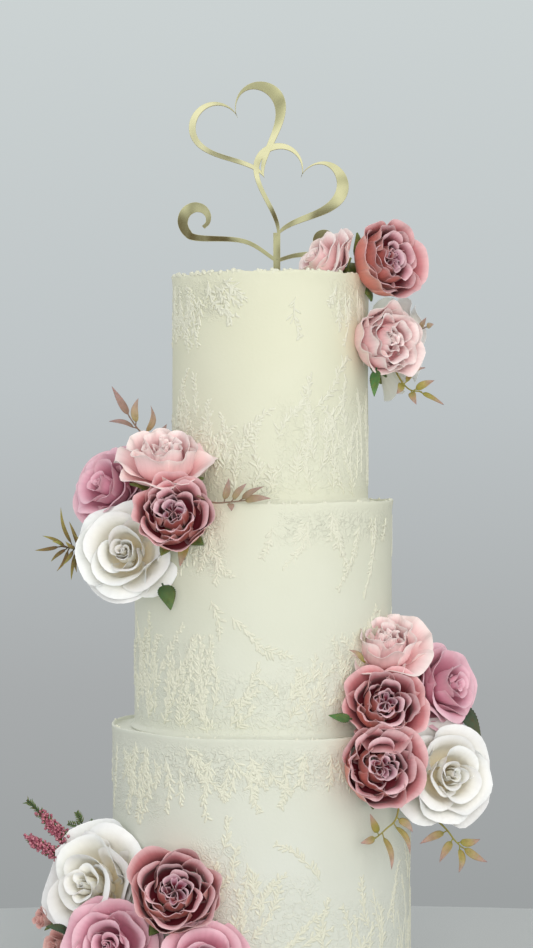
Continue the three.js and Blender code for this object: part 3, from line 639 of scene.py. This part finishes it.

# ---- Silk flowers ----
# Roses and peonies of dyed silk. Each is made of rings of thin petals, heat-shaped over a tool and
# glued one inside another on a wired green base. Petals are pale at the rim and deeper inside. The
# pale rim is partly dye and partly painted glow of light through the thin edge, and the cream deep in
# the white petals is partly painted warm shade in their folds.
# A ring: petals, root and floor where they start, length (all in shares of the flower's radius),
# half the angle that a petal wraps, its lean at the root and at the belly, how far its rim rolls
# out, how far it ruffles, and how much its sides cup in.
ROSE = [
    (2, 0.02, -0.08, 0.46, 160, 4, -2, 20, 0.004, 0.02),
    (2, 0.06, -0.14, 0.54, 130, 14, -6, 45, 0.01, 0.03),
    (3, 0.11, -0.2, 0.62, 100, 28, -2, 70, 0.02, 0.04), (3, 0.16, -0.28, 0.76, 92, 50, 6, 75, 0.03, 0.06),
    (3, 0.18, -0.36, 0.9, 90, 74, 20, 75, 0.05, 0.07), (4, 0.18, -0.4, 0.92, 76, 84, 36, 70, 0.07, 0.07),
    (4, 0.18, -0.46, 0.94, 70, 92, 56, 40, 0.08, 0.06),
]
PEONY = [
    (3, 0.03, -0.05, 0.34, 95, 5, -5, 55, 0.03, 0.03), (3, 0.09, -0.12, 0.46, 85, 22, -12, 65, 0.04, 0.04),
    (4, 0.17, -0.2, 0.58, 70, 42, -14, 55, 0.05, 0.05), (4, 0.23, -0.3, 0.74, 68, 64, -8, 45, 0.06, 0.07),
    (5, 0.22, -0.38, 0.92, 62, 86, 2, 40, 0.07, 0.07), (5, 0.2, -0.44, 1.06, 62, 98, 14, 40, 0.08, 0.06),
]
PEONY_OPEN = PEONY[:-1] + [(5, 0.2, -0.42, 0.98, 60, 92, 46, 45, 0.09, 0.06)]
TWO_TONE = [
    (5, 0.04, -0.02, 0.32, 38, 14, 56, -40, 0.01, 0.12),
    (3, 0.13, -0.12, 0.48, 74, 34, -10, 75, 0.02, 0.04),
    (4, 0.19, -0.18, 0.58, 60, 48, -16, 85, 0.025, 0.05),
    (5, 0.26, -0.22, 0.68, 52, 66, -10, 75, 0.03, 0.06),
    (6, 0.28, -0.3, 0.84, 48, 86, -2, 60, 0.035, 0.06),
    (6, 0.24, -0.38, 1.02, 56, 94, 12, 40, 0.045, 0.05),
]
TWO_TONE_OPEN = TWO_TONE[:-1] + [(5, 0.2, -0.42, 0.98, 58, 92, 42, 30, 0.05, 0.06)]
BUD = [
    (3, 0.05, -0.4, 0.9, 110, 10, 4, 20, 0.02, 0.03), (3, 0.1, -0.45, 0.95, 90, 26, 8, 40, 0.03, 0.05),
    (4, 0.12, -0.5, 0.95, 70, 45, 20, 50, 0.05, 0.06),
]
# Node, form, finish, radius and place in mm, then yaw to the right of the front, pitch up, and the
# turn about its own axis.
FLOWERS = [
    ("peony_mauve_top", TWO_TONE, "mauve", 38, (96, -28, 563), 40, 10, 20),
    ("peony_pink_top", PEONY, "pink", 37, (96, -40, 501), 32, 4, 50),
    ("rose_pink_top", ROSE, "pink", 30, (47, -30, 563), -65, 30, 0),
    ("rose_white_top", ROSE, "white", 40, (110, 26, 500), 104, 0, 30),
    ("peony_mauve_left", TWO_TONE, "mauve", 37, (-65, -102, 368), -3, 24, 10),
    ("peony_pink_left", PEONY_OPEN, "pink", 39, (-73, -74, 411), 0, 60, 40),
    ("rose_white_left", ROSE, "white", 41, (-102, -73, 339), -12, 12, 100),
    ("rose_mauve_left", ROSE, "dusty", 36, (-118, -38, 388), -42, 20, 60),
    ("rose_white_right", ROSE, "white", 41, (142, -64, 169), 22, 10, 200),
    ("peony_mauve_right_upper", TWO_TONE_OPEN, "mauve", 36, (92, -92, 225), 7, 26, 60),
    ("peony_mauve_right_lower", TWO_TONE, "mauve", 39, (88, -104, 180), 18, 12, 100),
    ("rose_pale_right", PEONY_OPEN, "pink", 36, (95, -60, 269), 8, 52, 90),
    ("rose_dusty_right", ROSE, "dusty", 36, (143, -36, 233), 48, 14, 130),
    ("peony_mauve_bottom", TWO_TONE, "mauve", 43, (-64, -120, 89), 4, 26, 140),
    ("rose_pink_bottom", ROSE, "dusty", 38, (-113, -106, 48), -12, 12, 160),
    ("rose_white_bottom", ROSE, "white", 48, (-128, -67, 86), -32, 14, 165),
    ("rose_pink_bottom_right", ROSE, "dusty", 34, (-43, -132, 39), 3, 18, 190),
    ("bud_left_upper", BUD, "bud", 15, (-168, -40, 55), -55, 12, 0),
    ("bud_left_lower", BUD, "bud", 17, (-155, -66, 40), -39, 12, 40),
]
PETAL_CELLS = 15
PETAL_THICKNESS = 0.0002
PETAL_STEPS = 40
BELLY_SHARE = 0.6
ROLL_SHARE = 0.62
# The silk core and the green base behind the petals: heights and radii in shares of the radius.
CORE = [(-0.47, 0.17), (-0.41, 0.175), (-0.32, 0.14), (-0.2, 0.07)]
BASE = [(-0.64, 0.06), (-0.61, 0.12), (-0.56, 0.17), (-0.51, 0.19), (-0.48, 0.18), (-0.47, 0.15)]
SEPALS = 5
SEPAL_LENGTH = 0.62
SEPAL_THICKNESS = 0.0003
WIRE_FOOT = -0.58
WIRE_RADIUS = 0.0014
WIRE_STEPS = 9
WIRE_DEPTH = {"behind": 0.006, "in_wall": 0.007, "in_top": 0.004}


def petal_marks():
    """Masks on a petal: how near the tip and the rim, streaks along it, its ring and its own shade."""
    group = bpy.data.node_groups.new("petal_marks", "ShaderNodeTree")
    chart = add_node(group, "SeparateXYZ", add_node(group, "UVMap", uv_map="petal_uv").outputs["UV"])
    across, along = chart.outputs["X"], chart.outputs["Y"]
    petal = add_node(group, "Attribute", attribute_name="petal").outputs["Color"]
    parts = add_node(group, "SeparateColor", petal)
    far = compute(group, "ABSOLUTE", compute(group, "SUBTRACT", across, 0.5), 0.0)
    # Where the pale rim goes: partly dye, partly painted glow of light through the thin edge.
    rim = compute(group, "MAXIMUM", rescale(group, far, 0.4, 0.5), rescale(group, along, 0.84, 1.0))
    own = compute(group, "MULTIPLY", parts.outputs["Green"], 40.0)
    stretched = add_node(group, "CombineXYZ", compute(group, "MULTIPLY", across, 16.0), along, own)
    streak = add_node(group, "TexNoise", stretched.outputs[0], Scale=1.2, Detail=3.0).outputs["Fac"]
    marks = {"Tip": along, "Rim": rim, "Streak": streak}
    marks.update({"Ring": parts.outputs["Red"], "Shade": parts.outputs["Green"]})
    result = group.nodes.new("NodeGroupOutput")
    for name, socket in marks.items():
        group.interface.new_socket(name=name, in_out="OUTPUT", socket_type="NodeSocketFloat")
        group.links.new(socket, result.inputs[name])
    return group


PETAL_MARKS = petal_marks()


def add_marks(tree):
    node = tree.nodes.new("ShaderNodeGroup")
    node.node_tree = PETAL_MARKS
    return node.outputs


def silk(name, inner, outer, rim, rim_dye_and_glow_share=0.7, roughness=0.7, vein=0.6, dull=247):
    """Dyed silk: inner and outer are the colours from root to tip for the first and last rings."""
    material, tree, shader = new_material(
        name, Roughness=roughness, Sheen_Weight=0.15, Sheen_Roughness=0.5, Specular_IOR_Level=0.3,
    )
    marks = add_marks(tree)
    first, last = ramp(tree, marks["Tip"], *inner), ramp(tree, marks["Tip"], *outer)
    colour = blend(tree, marks["Ring"], first, last)
    # Towards the rim the colour turns paler: partly dye, partly painted glow of light through the thin edge.
    colour = blend(tree, compute(tree, "MULTIPLY", marks["Rim"], rim_dye_and_glow_share), colour, paint(*rim))
    colour = tinted(tree, colour, marks["Streak"], (238.6, 236.2, 236.2), 0.3, 0.6, vein)
    colour = tinted(tree, colour, marks["Shade"], (dull, dull - 2.5, dull - 2.5), 0.0, 0.6)
    threads = compute(tree, "ADD", marks["Streak"], object_noise(tree, 1500.0, 1.0))
    feed(tree, shader, Base_Color=colour, Normal=bump(tree, threads, 0.16 * vein, 0.0005))
    return material


# For each finish, the silk of a petal's inside and of its outside.
SILKS = {
    # The cream towards the roots of the white petals is partly the silk's cream centre and partly painted
    # warm shade in the folds.
    "white": [silk(
        "white_silk", [(0.0, 250, 230, 184), (0.5, 253, 247, 226), (0.95, 252, 251, 244)],
        [(0.0, 251, 240, 208), (0.45, 252, 250, 240), (1.0, 250, 251, 250)], (250, 251, 250), vein=0.25,
    )] * 2,
    "pink": [silk(
        "blush_silk", [(0.0, 238, 136, 146), (0.5, 252, 198, 202), (1.0, 254, 236, 234)],
        [(0.0, 238, 154, 158), (0.5, 250, 207, 207), (1.0, 254, 234, 231)], (254, 244, 239), 0.6, vein=0.5,
    )] * 2,
    "dusty": [silk(
        "dusty_rose_silk", [(0.0, 164, 60, 92), (0.5, 220, 140, 166), (1.0, 240, 188, 203)],
        [(0.0, 184, 92, 118), (0.5, 228, 162, 181), (1.0, 241, 196, 208)], (247, 212, 220), 0.5, vein=0.4,
    )] * 2,
    "mauve": [
        silk(
            "mauve_silk_inside",
            [(0.0, 114, 28, 42), (0.6, 136, 50, 68), (0.8, 204, 156, 174), (1.0, 240, 212, 222)],
            [(0.0, 116, 30, 40), (0.5, 156, 66, 74), (0.82, 212, 140, 144), (1.0, 242, 196, 196)],
            (242, 204, 208), 0.45, 0.42, dull=228.5,
        ),
        silk(
            "mauve_silk_outside", [(0.0, 130, 34, 40), (0.7, 164, 62, 64), (1.0, 214, 140, 148)],
            [(0.0, 180, 82, 68), (0.6, 226, 138, 122), (1.0, 244, 178, 168)], (248, 212, 206),
            0.6, 0.5, dull=238.5,
        ),
    ],
    "bud": [silk(
        "brown_pink_silk", [(0.0, 180, 108, 102), (1.0, 236, 186, 178)],
        [(0.0, 184, 120, 112), (1.0, 238, 192, 184)], (242, 204, 196), 0.5,
    )] * 2,
}
leaf_green, tree, shader = new_material(
    "leaf_green_silk", Roughness=0.6, Subsurface_Weight=0.1, Subsurface_Scale=0.002,
)
green = ramp(tree, object_noise(tree, 90.0), (0.3, 84, 104, 56), (0.7, 126, 138, 74))
feed(tree, shader, Base_Color=green, Normal=bump(tree, object_noise(tree, 900.0), 0.3, 0.0003))


def petal_line(root, floor, length, lean, belly, roll):
    """Where a petal's middle runs: its reach, height and heading at each step from its root."""
    line = [(root, floor, math.radians(lean))]
    for step in range(PETAL_STEPS):
        share = (step + 0.5) / PETAL_STEPS
        ease = min(1, share / BELLY_SHARE)
        bend = (belly - lean) * ease * ease * (3 - 2 * ease)
        curl = roll * max(0, (share - ROLL_SHARE) / (1 - ROLL_SHARE)) ** 1.5
        heading = math.radians(lean + bend + curl)
        reach, up, _ = line[-1]
        stretch = length / PETAL_STEPS
        line.append((reach + math.sin(heading) * stretch, up + math.cos(heading) * stretch, heading))
    return line


def petal(bm, size, start, ring, share, chance):
    """One petal: a grid bent along its length, wrapped round the flower's axis and cupped."""
    count, root, floor, length, wrap, lean, belly, roll, ruffle, cup = ring
    length *= chance.uniform(0.9, 1.08)
    lean, belly = lean + chance.uniform(-5, 5), belly + chance.uniform(-7, 7)
    roll *= chance.uniform(0.3, 1.25)
    wrap *= chance.uniform(0.88, 1.1)
    phase, waves = chance.uniform(0, 6.3), chance.uniform(1.4, 3.0)
    notch = chance.uniform(-0.03, 0.05)
    line = petal_line(root, floor, length, lean, belly, roll)
    made = bmesh.ops.create_grid(bm, x_segments=PETAL_CELLS, y_segments=PETAL_CELLS, size=1, calc_uvs=True)
    marks = bm.verts.layers.float_color["petal"]
    shade = chance.random()
    for vert in made["verts"]:
        u, v = vert.co.x, (vert.co.y + 1) / 2
        along = v * (1 - 0.26 * abs(u) ** 2.6 + notch * math.cos(3 * u))
        place = min(PETAL_STEPS - 1e-6, max(0, along * PETAL_STEPS))
        i, t = int(place), place - int(place)
        reach, up, heading = [here + (there - here) * t for here, there in zip(line[i], line[i + 1])]
        back = 0.035 * u - cup * u * u * (0.4 + v) + ruffle * math.sin(waves * math.pi * u + phase) * v ** 2.5
        back += 0.035 * noise.noise(Vector((u * 2.6, v * 3.4, phase * 9))) * v
        back += 0.16 * ruffle * math.sin(8.5 * u + 3 * phase) * v ** 4
        reach += math.cos(heading) * back
        up -= math.sin(heading) * back
        angle = start - u * math.radians(wrap) * (1 - 0.12 * v ** 3)
        vert.co = Vector((reach * math.cos(angle), reach * math.sin(angle), up)) * size
        vert[marks] = (share, shade, v, 1.0)


def tube(bm, line, widths, sides=8):
    """A closed round tube along a line, with its radius at each station."""
    ways = [(line[min(i + 1, len(line) - 1)] - line[max(i - 1, 0)]).normalized() for i in range(len(line))]
    turn = ways[0].to_track_quat("Z", "Y")
    frames = []
    for i, way in enumerate(ways):
        if i:
            turn = ways[i - 1].rotation_difference(way) @ turn
        frames.append(Matrix.LocRotScale(line[i], turn, Vector((widths[i],) * 3)))
    bmesh.ops.create_circle(bm, cap_ends=True, segments=sides, radius=1, matrix=frames[0])
    bm.faces.ensure_lookup_table()
    face = bm.faces[-1]
    for before, after in zip(frames, frames[1:]):
        grown = bmesh.ops.extrude_face_region(bm, geom=[face])["geom"]
        face = next(part for part in grown if isinstance(part, bmesh.types.BMFace))
        bmesh.ops.transform(bm, verts=face.verts, matrix=after @ before.inverted())


def turned_tube(bm, size, outline):
    """A tube along the flower's own axis, from heights and radii in shares of its size."""
    tube(bm, [Vector((0, 0, up * size)) for up, _ in outline], [reach * size for _, reach in outline], 12)


def flower_frame(place, yaw, pitch, roll):
    """Where a flower stands: its own +Z faces yaw to the right of the front and pitch up."""
    turn, rise = math.radians(yaw), math.radians(pitch)
    forward = Vector((math.sin(turn) * math.cos(rise), -math.cos(turn) * math.cos(rise), math.sin(rise)))
    side = Vector((0, 0, 1)).cross(forward).normalized()
    axes = Matrix((side, forward.cross(side), forward)).transposed().to_4x4()
    return Matrix.Translation(Vector(place) / 1000) @ axes @ Matrix.Rotation(math.radians(roll), 4, "Z")


def stem_line(base, back):
    """A wire that leaves a flower's base backwards and bends until it is well inside the icing."""
    bend = base + back * WIRE_DEPTH["behind"]
    tier = next((tier for tier in TIERS if bend.z < tier["base"] + tier["height"]), TIERS[-1])
    ledge = tier["base"] + tier["height"]
    inward = Vector((tier["across"] - bend.x, -bend.y, 0)).normalized()
    if bend.z > ledge:
        inward = (inward * 0.5 - Vector((0, 0, 1))).normalized()
    for step in range(100):
        end = bend + inward * step / 1000
        across = Vector((end.x - tier["across"], end.y)).length
        if across < tier["radius"] - WIRE_DEPTH["in_wall"] and end.z < ledge - WIRE_DEPTH["in_top"]:
            break
    return [base, bend.lerp(base, 0.4), bend.lerp(end, 0.2), end]


def green_base(node, size, standing):
    """What shows behind a flower: its green base with five sepals, and the wire into the icing."""
    bm = bmesh.new()
    turned_tube(bm, size, BASE)
    for number in range(SEPALS):
        turn = Matrix.Rotation(number * 1.257 + 0.4, 3, "Z")
        sepal = bmesh.ops.create_grid(bm, x_segments=4, y_segments=8, size=1)
        for vert in sepal["verts"]:
            u, v = vert.co.x, (vert.co.y + 1) / 2
            wide = 0.15 * math.sin(math.pi * min(1, v * 0.85 + 0.15)) ** 0.8 + 0.004
            reach, up = 0.14 + SEPAL_LENGTH * v, -0.52 + 0.1 * v - 0.06 * math.sin(5 * v) - 0.05 * u * u
            vert.co = turn @ Vector((reach, -u * wide, up)) * size
    bmesh.ops.transform(bm, verts=bm.verts, matrix=standing)
    line = stem_line(standing @ Vector((0, 0, WIRE_FOOT * size)), -standing.to_3x3().col[2])
    tube(bm, smooth_path(line, WIRE_STEPS), [WIRE_RADIUS] * (WIRE_STEPS + 1))
    calyx = finish_piece("calyx_" + node, bm, [leaf_green])
    calyx.modifiers.new("leaf_thickness", "SOLIDIFY").thickness = SEPAL_THICKNESS


def silk_flower(node, form, finish, radius, place, yaw, pitch, roll):
    chance = random.Random(node)
    size = radius / 1000
    bm = bmesh.new()
    chart = bm.loops.layers.uv.new("petal_uv")
    bm.verts.layers.float_color.new("petal")
    turned_tube(bm, size, CORE)
    for face in bm.faces:
        for loop in face.loops:
            loop[chart].uv = (0.5, 0.1)
    start = 0.0
    for order, ring in enumerate(form):
        start += chance.uniform(0.5, 1.2)
        for number in range(ring[0]):
            turn = start + (number + chance.uniform(-0.18, 0.18)) * 2 * math.pi / ring[0]
            petal(bm, size, turn, ring, order / (len(form) - 1), chance)
    for edge in bm.edges:
        edge.smooth = not edge.is_boundary
    standing = flower_frame(place, yaw, pitch, roll)
    bmesh.ops.transform(bm, verts=bm.verts, matrix=standing)
    piece = finish_piece("silk_" + node, bm, SILKS[finish] + [leaf_green], node)
    wall = piece.modifiers.new("silk_thickness", "SOLIDIFY")
    wall.thickness = PETAL_THICKNESS
    wall.offset = -1
    wall.material_offset = 1
    green_base(node, size, standing)


for flower in FLOWERS:
    silk_flower(*flower)

# ---- Foliage ----
# Wired silk leaves, slim sprigs that turn from olive to pink at the tips, a spiky green pick,
# needle-leaved cedar, and heather with small pink beads. Their stems are pushed in among the
# flowers. Places are in millimetres from the middle of the cluster.
# A sprig: finish, width of its leaves, points of its stem, then its leaves as the share of the way
# along the stem and the tip.
CLUSTERS = {
    "top": Vector((82, -20, 550)), "left": Vector((-88, -52, 375)),
    "right": Vector((100, -60, 200)), "low": Vector((-100, -60, 60)),
}
SPRIGS = [
    ("sprig_top", "top", "olive", 5.6, [(16, -8, -58), (24, -14, -76), (32, -16, -86), (42, -14, -88)],
     [(0.97, 59, -16, -98), (0.8, 52, -12, -79), (0.72, 37, -26, -98), (0.45, 22, -26, -90),
      (0.5, 45, -8, -69)]),
    ("twig_top", "top", "russet", 4, [(28, 2, -48), (38, -2, -41), (47, -2, -37)],
     [(0.6, 46, -6, -30), (0.97, 52, -3, -35)]),
    ("sprig_left_up", "left", "russet", 5.6, [(12, 10, 41), (4, 8, 49), (-6, 8, 57), (-14, 8, 68)],
     [(0.97, -27, 6, 91), (0.8, -7, 12, 82), (0.7, -29, 4, 64), (0.5, 3, 10, 76), (0.3, 15, 12, 62)]),
    ("sprig_left_over", "left", "russet", 5.2, [(40, -54, 8), (52, -55, 3), (62, -55, 3), (73, -54, 4)],
     [(0.6, 64, -56, 21), (0.8, 77, -54, 17), (0.96, 90, -53, 15), (0.98, 95, -56, 6), (0.7, 66, -58, -3)]),
    ("spiky_left", "left", "spiky", 2.8, [(-40, 0, -38), (-54, 0, -34), (-65, 0, -32)],
     [(0.6, -66, 2, -2), (0.8, -80, 2, -24), (0.98, -86, 2, -35), (0.7, -69, 0, -51), (0.5, -58, 2, -58),
      (0.4, -60, 6, -13), (0.9, -72, -3, -28), (0.3, -56, -2, -22), (0.55, -64, -4, -46),
      (0.45, -54, 4, -52), (0.75, -74, 6, -44), (0.5, -62, -2, -28)]),
    ("sprig_right_low", "right", "olive", 5.6, [(4, -38, -36), (1, -42, -57), (-7, -42, -66),
      (-15, -42, -73)],
     [(0.9, -19, -46, -54), (0.97, -26, -44, -76), (0.75, -3, -48, -95), (0.45, 11, -46, -84),
      (0.35, 13, -42, -68)]),
    ("sprig_right_far", "right", "olive", 6, [(24, -8, -56), (40, -6, -71), (47, -6, -80), (53, -6, -86)],
     [(0.4, 20, -12, -82), (0.6, 35, -12, -96), (0.8, 67, -2, -80), (0.97, 72, -6, -97),
      (0.9, 50, -10, -104)]),
    ("cedar_left", "low", "cedar", 3, [(-28, 26, 46), (-34, 24, 58), (-39, 22, 68)],
     [(0.5, -55, 24, 60), (0.6, -30, 24, 70), (0.8, -50, 24, 68), (0.97, -43, 22, 77)]),
]
# A leaf: finish, width, base and tip.
LEAVES = [
    ("leaf_green_top", "top", "green", 8, (6, -32, -72), (4, -40, -92)),
    ("leaf_green_left", "left", "green", 14, (14, -34, -60), (20, -36, -78)),
    ("leaf_brown_left", "left", "olive", 9, (31, -40, -24), (27, -42, -45)),
    ("leaf_dark_right", "right", "dark", 13, (52, 34, 19), (70, 24, -5)),
    ("leaf_small_right", "right", "green", 6, (-34, -46, 17), (-50, -49, 20)),
    ("leaf_slim_right", "right", "olive", 5, (-23, -26, 58), (-34, -30, 67)),
    ("leaf_bottom", "low", "dark", 7, (-44, -26, -8), (-62, -30, -1)),
]
# A heather: points of its stem, and the shares of the way between which its beads sit.
HEATHERS = [
    ("heather_upper", "low", [(-34, 22, 42), (-53, 22, 57), (-66, 20, 72), (-81, 18, 87)], 0.25, 0.76),
    ("heather_lower", "low", [(-36, 18, 36), (-59, 16, 46), (-79, 14, 58)], 0.25, 1.0),
]
# A finish: its slot, then two ramps from root to tip between which its leaves vary.
LEAF_FINISHES = {
    "olive": (
        "leaf_olive",
        [(0.0, 146, 142, 58), (0.45, 168, 156, 84), (0.75, 178, 150, 126), (1.0, 182, 148, 142)],
        [(0.0, 156, 148, 74), (0.4, 176, 154, 118), (1.0, 188, 154, 150)],
    ),
    "russet": (
        "leaf_russet", [(0.0, 168, 158, 104), (0.45, 174, 154, 124), (1.0, 176, 148, 142)],
        [(0.0, 146, 122, 104), (1.0, 168, 140, 136)],
    ),
    "spiky": (
        "leaf_green", [(0.0, 104, 90, 48), (0.5, 148, 144, 66), (1.0, 180, 176, 98)],
        [(0.0, 96, 78, 52), (0.6, 122, 102, 66), (1.0, 150, 138, 80)],
    ),
    "green": ("leaf_green", [(0, 56, 100, 48), (1, 80, 134, 66)], [(0, 54, 84, 46), (1, 78, 116, 62)]),
    "dark": ("leaf_green", [(0, 44, 68, 48), (1, 66, 92, 66)], [(0, 50, 66, 48), (1, 72, 92, 66)]),
    "cedar": ("leaf_green", [(0, 78, 98, 56), (1, 112, 134, 78)], [(0, 66, 84, 50), (1, 104, 124, 72)]),
}
SPRIG_STEPS = 18
SERRATED = 0.12
NEEDLE_WIDTH = 0.0011
FROND_STEPS = 8
FROND_ARCH = Vector((0, 0, 0.0008))
HEATHER_STEPS = 60
BEADS = 8
LEAF_THICKNESS = 0.0003
BROAD_LEAF_THICKNESS = 0.0004
FACING = Vector((0.2, -1.0, 0.35))


def leaf_material(name, stops, others):
    """A silk leaf: a ramp from its root to its tip, with raised veins and small blotches."""
    material, tree, shader = new_material(
        name, Roughness=0.6, Subsurface_Weight=0.12, Subsurface_Scale=0.002,
    )
    marks = add_marks(tree)
    first, last = ramp(tree, marks["Tip"], *stops), ramp(tree, marks["Tip"], *others)
    colour = blend(tree, marks["Shade"], first, last)
    colour = tinted(tree, colour, object_noise(tree, 260.0), (231, 231, 228.5))
    feed(tree, shader, Base_Color=colour, Normal=bump(tree, marks["Streak"], 0.5, 0.0004))
    return material


FOLIAGE = {
    finish: ([leaf_material(finish + "_leaf", stops, others)], slot)
    for finish, (slot, stops, others) in LEAF_FINISHES.items()
}
heather_bead, tree, shader = new_material("heather_bead", Roughness=0.4, Coat_Weight=0.2)
pink = ramp(tree, object_noise(tree, 500.0), (0.35, 142, 66, 86), (0.55, 186, 108, 124), (0.7, 222, 168, 172))
feed(tree, shader, Base_Color=pink, Normal=bump(tree, object_noise(tree, 1400.0), 0.3, 0.0003))
FOLIAGE["heather"] = (FOLIAGE["cedar"][0] + [heather_bead], "heather_pink")


def start_foliage():
    bm = bmesh.new()
    bm.loops.layers.uv.new("petal_uv")
    bm.verts.layers.float_color.new("petal")
    return bm


def blade(bm, base, tip, width, chance, serrated=0.0, cells=10):
    """One thin leaf from base to tip, folded along its middle and bowed, with its face turned out."""
    way = tip - base
    length = way.length
    way.normalize()
    side = way.cross(FACING).normalized()
    face = side.cross(way).normalized()
    tilt = Quaternion(way, chance.uniform(-0.6, 0.6))
    side, face = tilt @ side, tilt @ face
    bow, wave, bend = chance.uniform(0.05, 0.14), chance.uniform(0, 6), chance.uniform(-0.09, 0.09)
    made = bmesh.ops.create_grid(bm, x_segments=6, y_segments=cells, size=1, calc_uvs=True)
    marks = bm.verts.layers.float_color["petal"]
    shade = chance.random()
    for vert in made["verts"]:
        u, v = vert.co.x, (vert.co.y + 1) / 2
        half = width / 2 * math.sin(math.pi * v ** 0.62) ** 0.9 + width * 0.03 * (1 - v)
        teeth = 1 + serrated * (round(v * cells) % 2) * abs(u) ** 3
        arch = length * math.sin(math.pi * v)
        out = bow * arch + 0.22 * half * abs(u) + 0.05 * width * math.sin(5 * v + wave) * u
        drift = bend * arch
        vert.co = base + way * length * v + side * (u * half * teeth + drift) + face * out
        vert[marks] = (0.5, shade, v, 1.0)


def needle(bm, place, way, lean, length, chance):
    """A needle of cedar or heather that leans out to one side of its stem."""
    tip = place + Quaternion((0, 1, 0), lean) @ way * length
    blade(bm, place, tip, NEEDLE_WIDTH, chance, cells=4)


def cedar_frond(bm, start, end, chance):
    """A twig with needles in pairs that grow shorter to its tip."""
    twig = smooth_path([start, start.lerp(end, 0.5) + FROND_ARCH, end], FROND_STEPS)
    way = (end - start).normalized()
    for i, place in enumerate(twig[1:-1]):
        for side in (-1, 1):
            needle(bm, place, way, side * 0.75, 0.0052 * (1 - 0.07 * i), chance)
    blade(bm, twig[-2], end, NEEDLE_WIDTH, chance, cells=4)


def finish_foliage(node, blades, stems, finish, thickness=LEAF_THICKNESS):
    """The thin leaves get their thickness and are joined with their closed stems."""
    bmesh.ops.solidify(blades, geom=blades.faces[:], thickness=thickness)
    join_to(blades, stems)
    materials, slot = FOLIAGE[finish]
    finish_piece("foliage_" + node, blades, materials, node)


def in_cluster(cluster, point):
    return (CLUSTERS[cluster] + Vector(point)) / 1000


for node, cluster, finish, width, stem, leaves in SPRIGS:
    chance = random.Random(node)
    blades, stems = start_foliage(), start_foliage()
    line = smooth_path([in_cluster(cluster, point) for point in stem], SPRIG_STEPS)
    tube(stems, line, [0.0008 - 0.0003 * i / SPRIG_STEPS for i in range(SPRIG_STEPS + 1)])
    for share, *tip in leaves:
        start, end = line[round(share * SPRIG_STEPS)], in_cluster(cluster, tip)
        if finish == "cedar":
            cedar_frond(blades, start, end, chance)
            stalk = 0.96
        else:
            blade(blades, start.lerp(end, 0.12), end, width / 1000, chance)
            stalk = 0.2
        tube(stems, [start.lerp(end, stalk * part) for part in (0, 0.5, 1)], [0.0005, 0.0005, 0.0004], 6)
    finish_foliage(node, blades, stems, finish)

for node, cluster, finish, width, base, tip in LEAVES:
    chance = random.Random(node)
    blades, stems = start_foliage(), start_foliage()
    start, end = in_cluster(cluster, base), in_cluster(cluster, tip)
    serrated = SERRATED if finish in ("green", "dark") else 0
    blade(blades, start, end, width / 1000, chance, serrated, cells=24)
    tube(stems, [start.lerp(end, share) for share in (-0.1, 0.05, 0.2)], [0.0008, 0.0007, 0.0004], 6)
    finish_foliage(node, blades, stems, finish, BROAD_LEAF_THICKNESS)

for node, cluster, stem, first, last in HEATHERS:
    chance = random.Random(node)
    blades, stems = start_foliage(), start_foliage()
    line = smooth_path([in_cluster(cluster, point) for point in stem], HEATHER_STEPS)
    taper = [1.2 - 0.6 * i / HEATHER_STEPS for i in range(HEATHER_STEPS + 1)]
    for i in range(6, HEATHER_STEPS, 2):
        way = (line[i + 1] - line[i]).normalized()
        for side in (-1, 1):
            lean = side * chance.uniform(0.5, 1.0)
            needle(blades, line[i], way, lean, chance.uniform(0.006, 0.009) * taper[i], chance)
    tube(stems, line, [0.0009] * (HEATHER_STEPS + 1))
    for i in range(round(HEATHER_STEPS * first), round(HEATHER_STEPS * last) + 1):
        beads = bmesh.new()
        for bead in range(BEADS):
            away = Vector([chance.uniform(-1, 1) for axis in range(3)]).normalized()
            place = line[i] + away * chance.uniform(0.002, 0.0068) * taper[i]
            size = chance.uniform(0.0009, 0.0015)
            bmesh.ops.create_icosphere(beads, subdivisions=1, radius=size, matrix=Matrix.Translation(place))
        for face in beads.faces:
            face.material_index = 1
        join_to(stems, beads)
    finish_foliage(node, blades, stems, "heather")
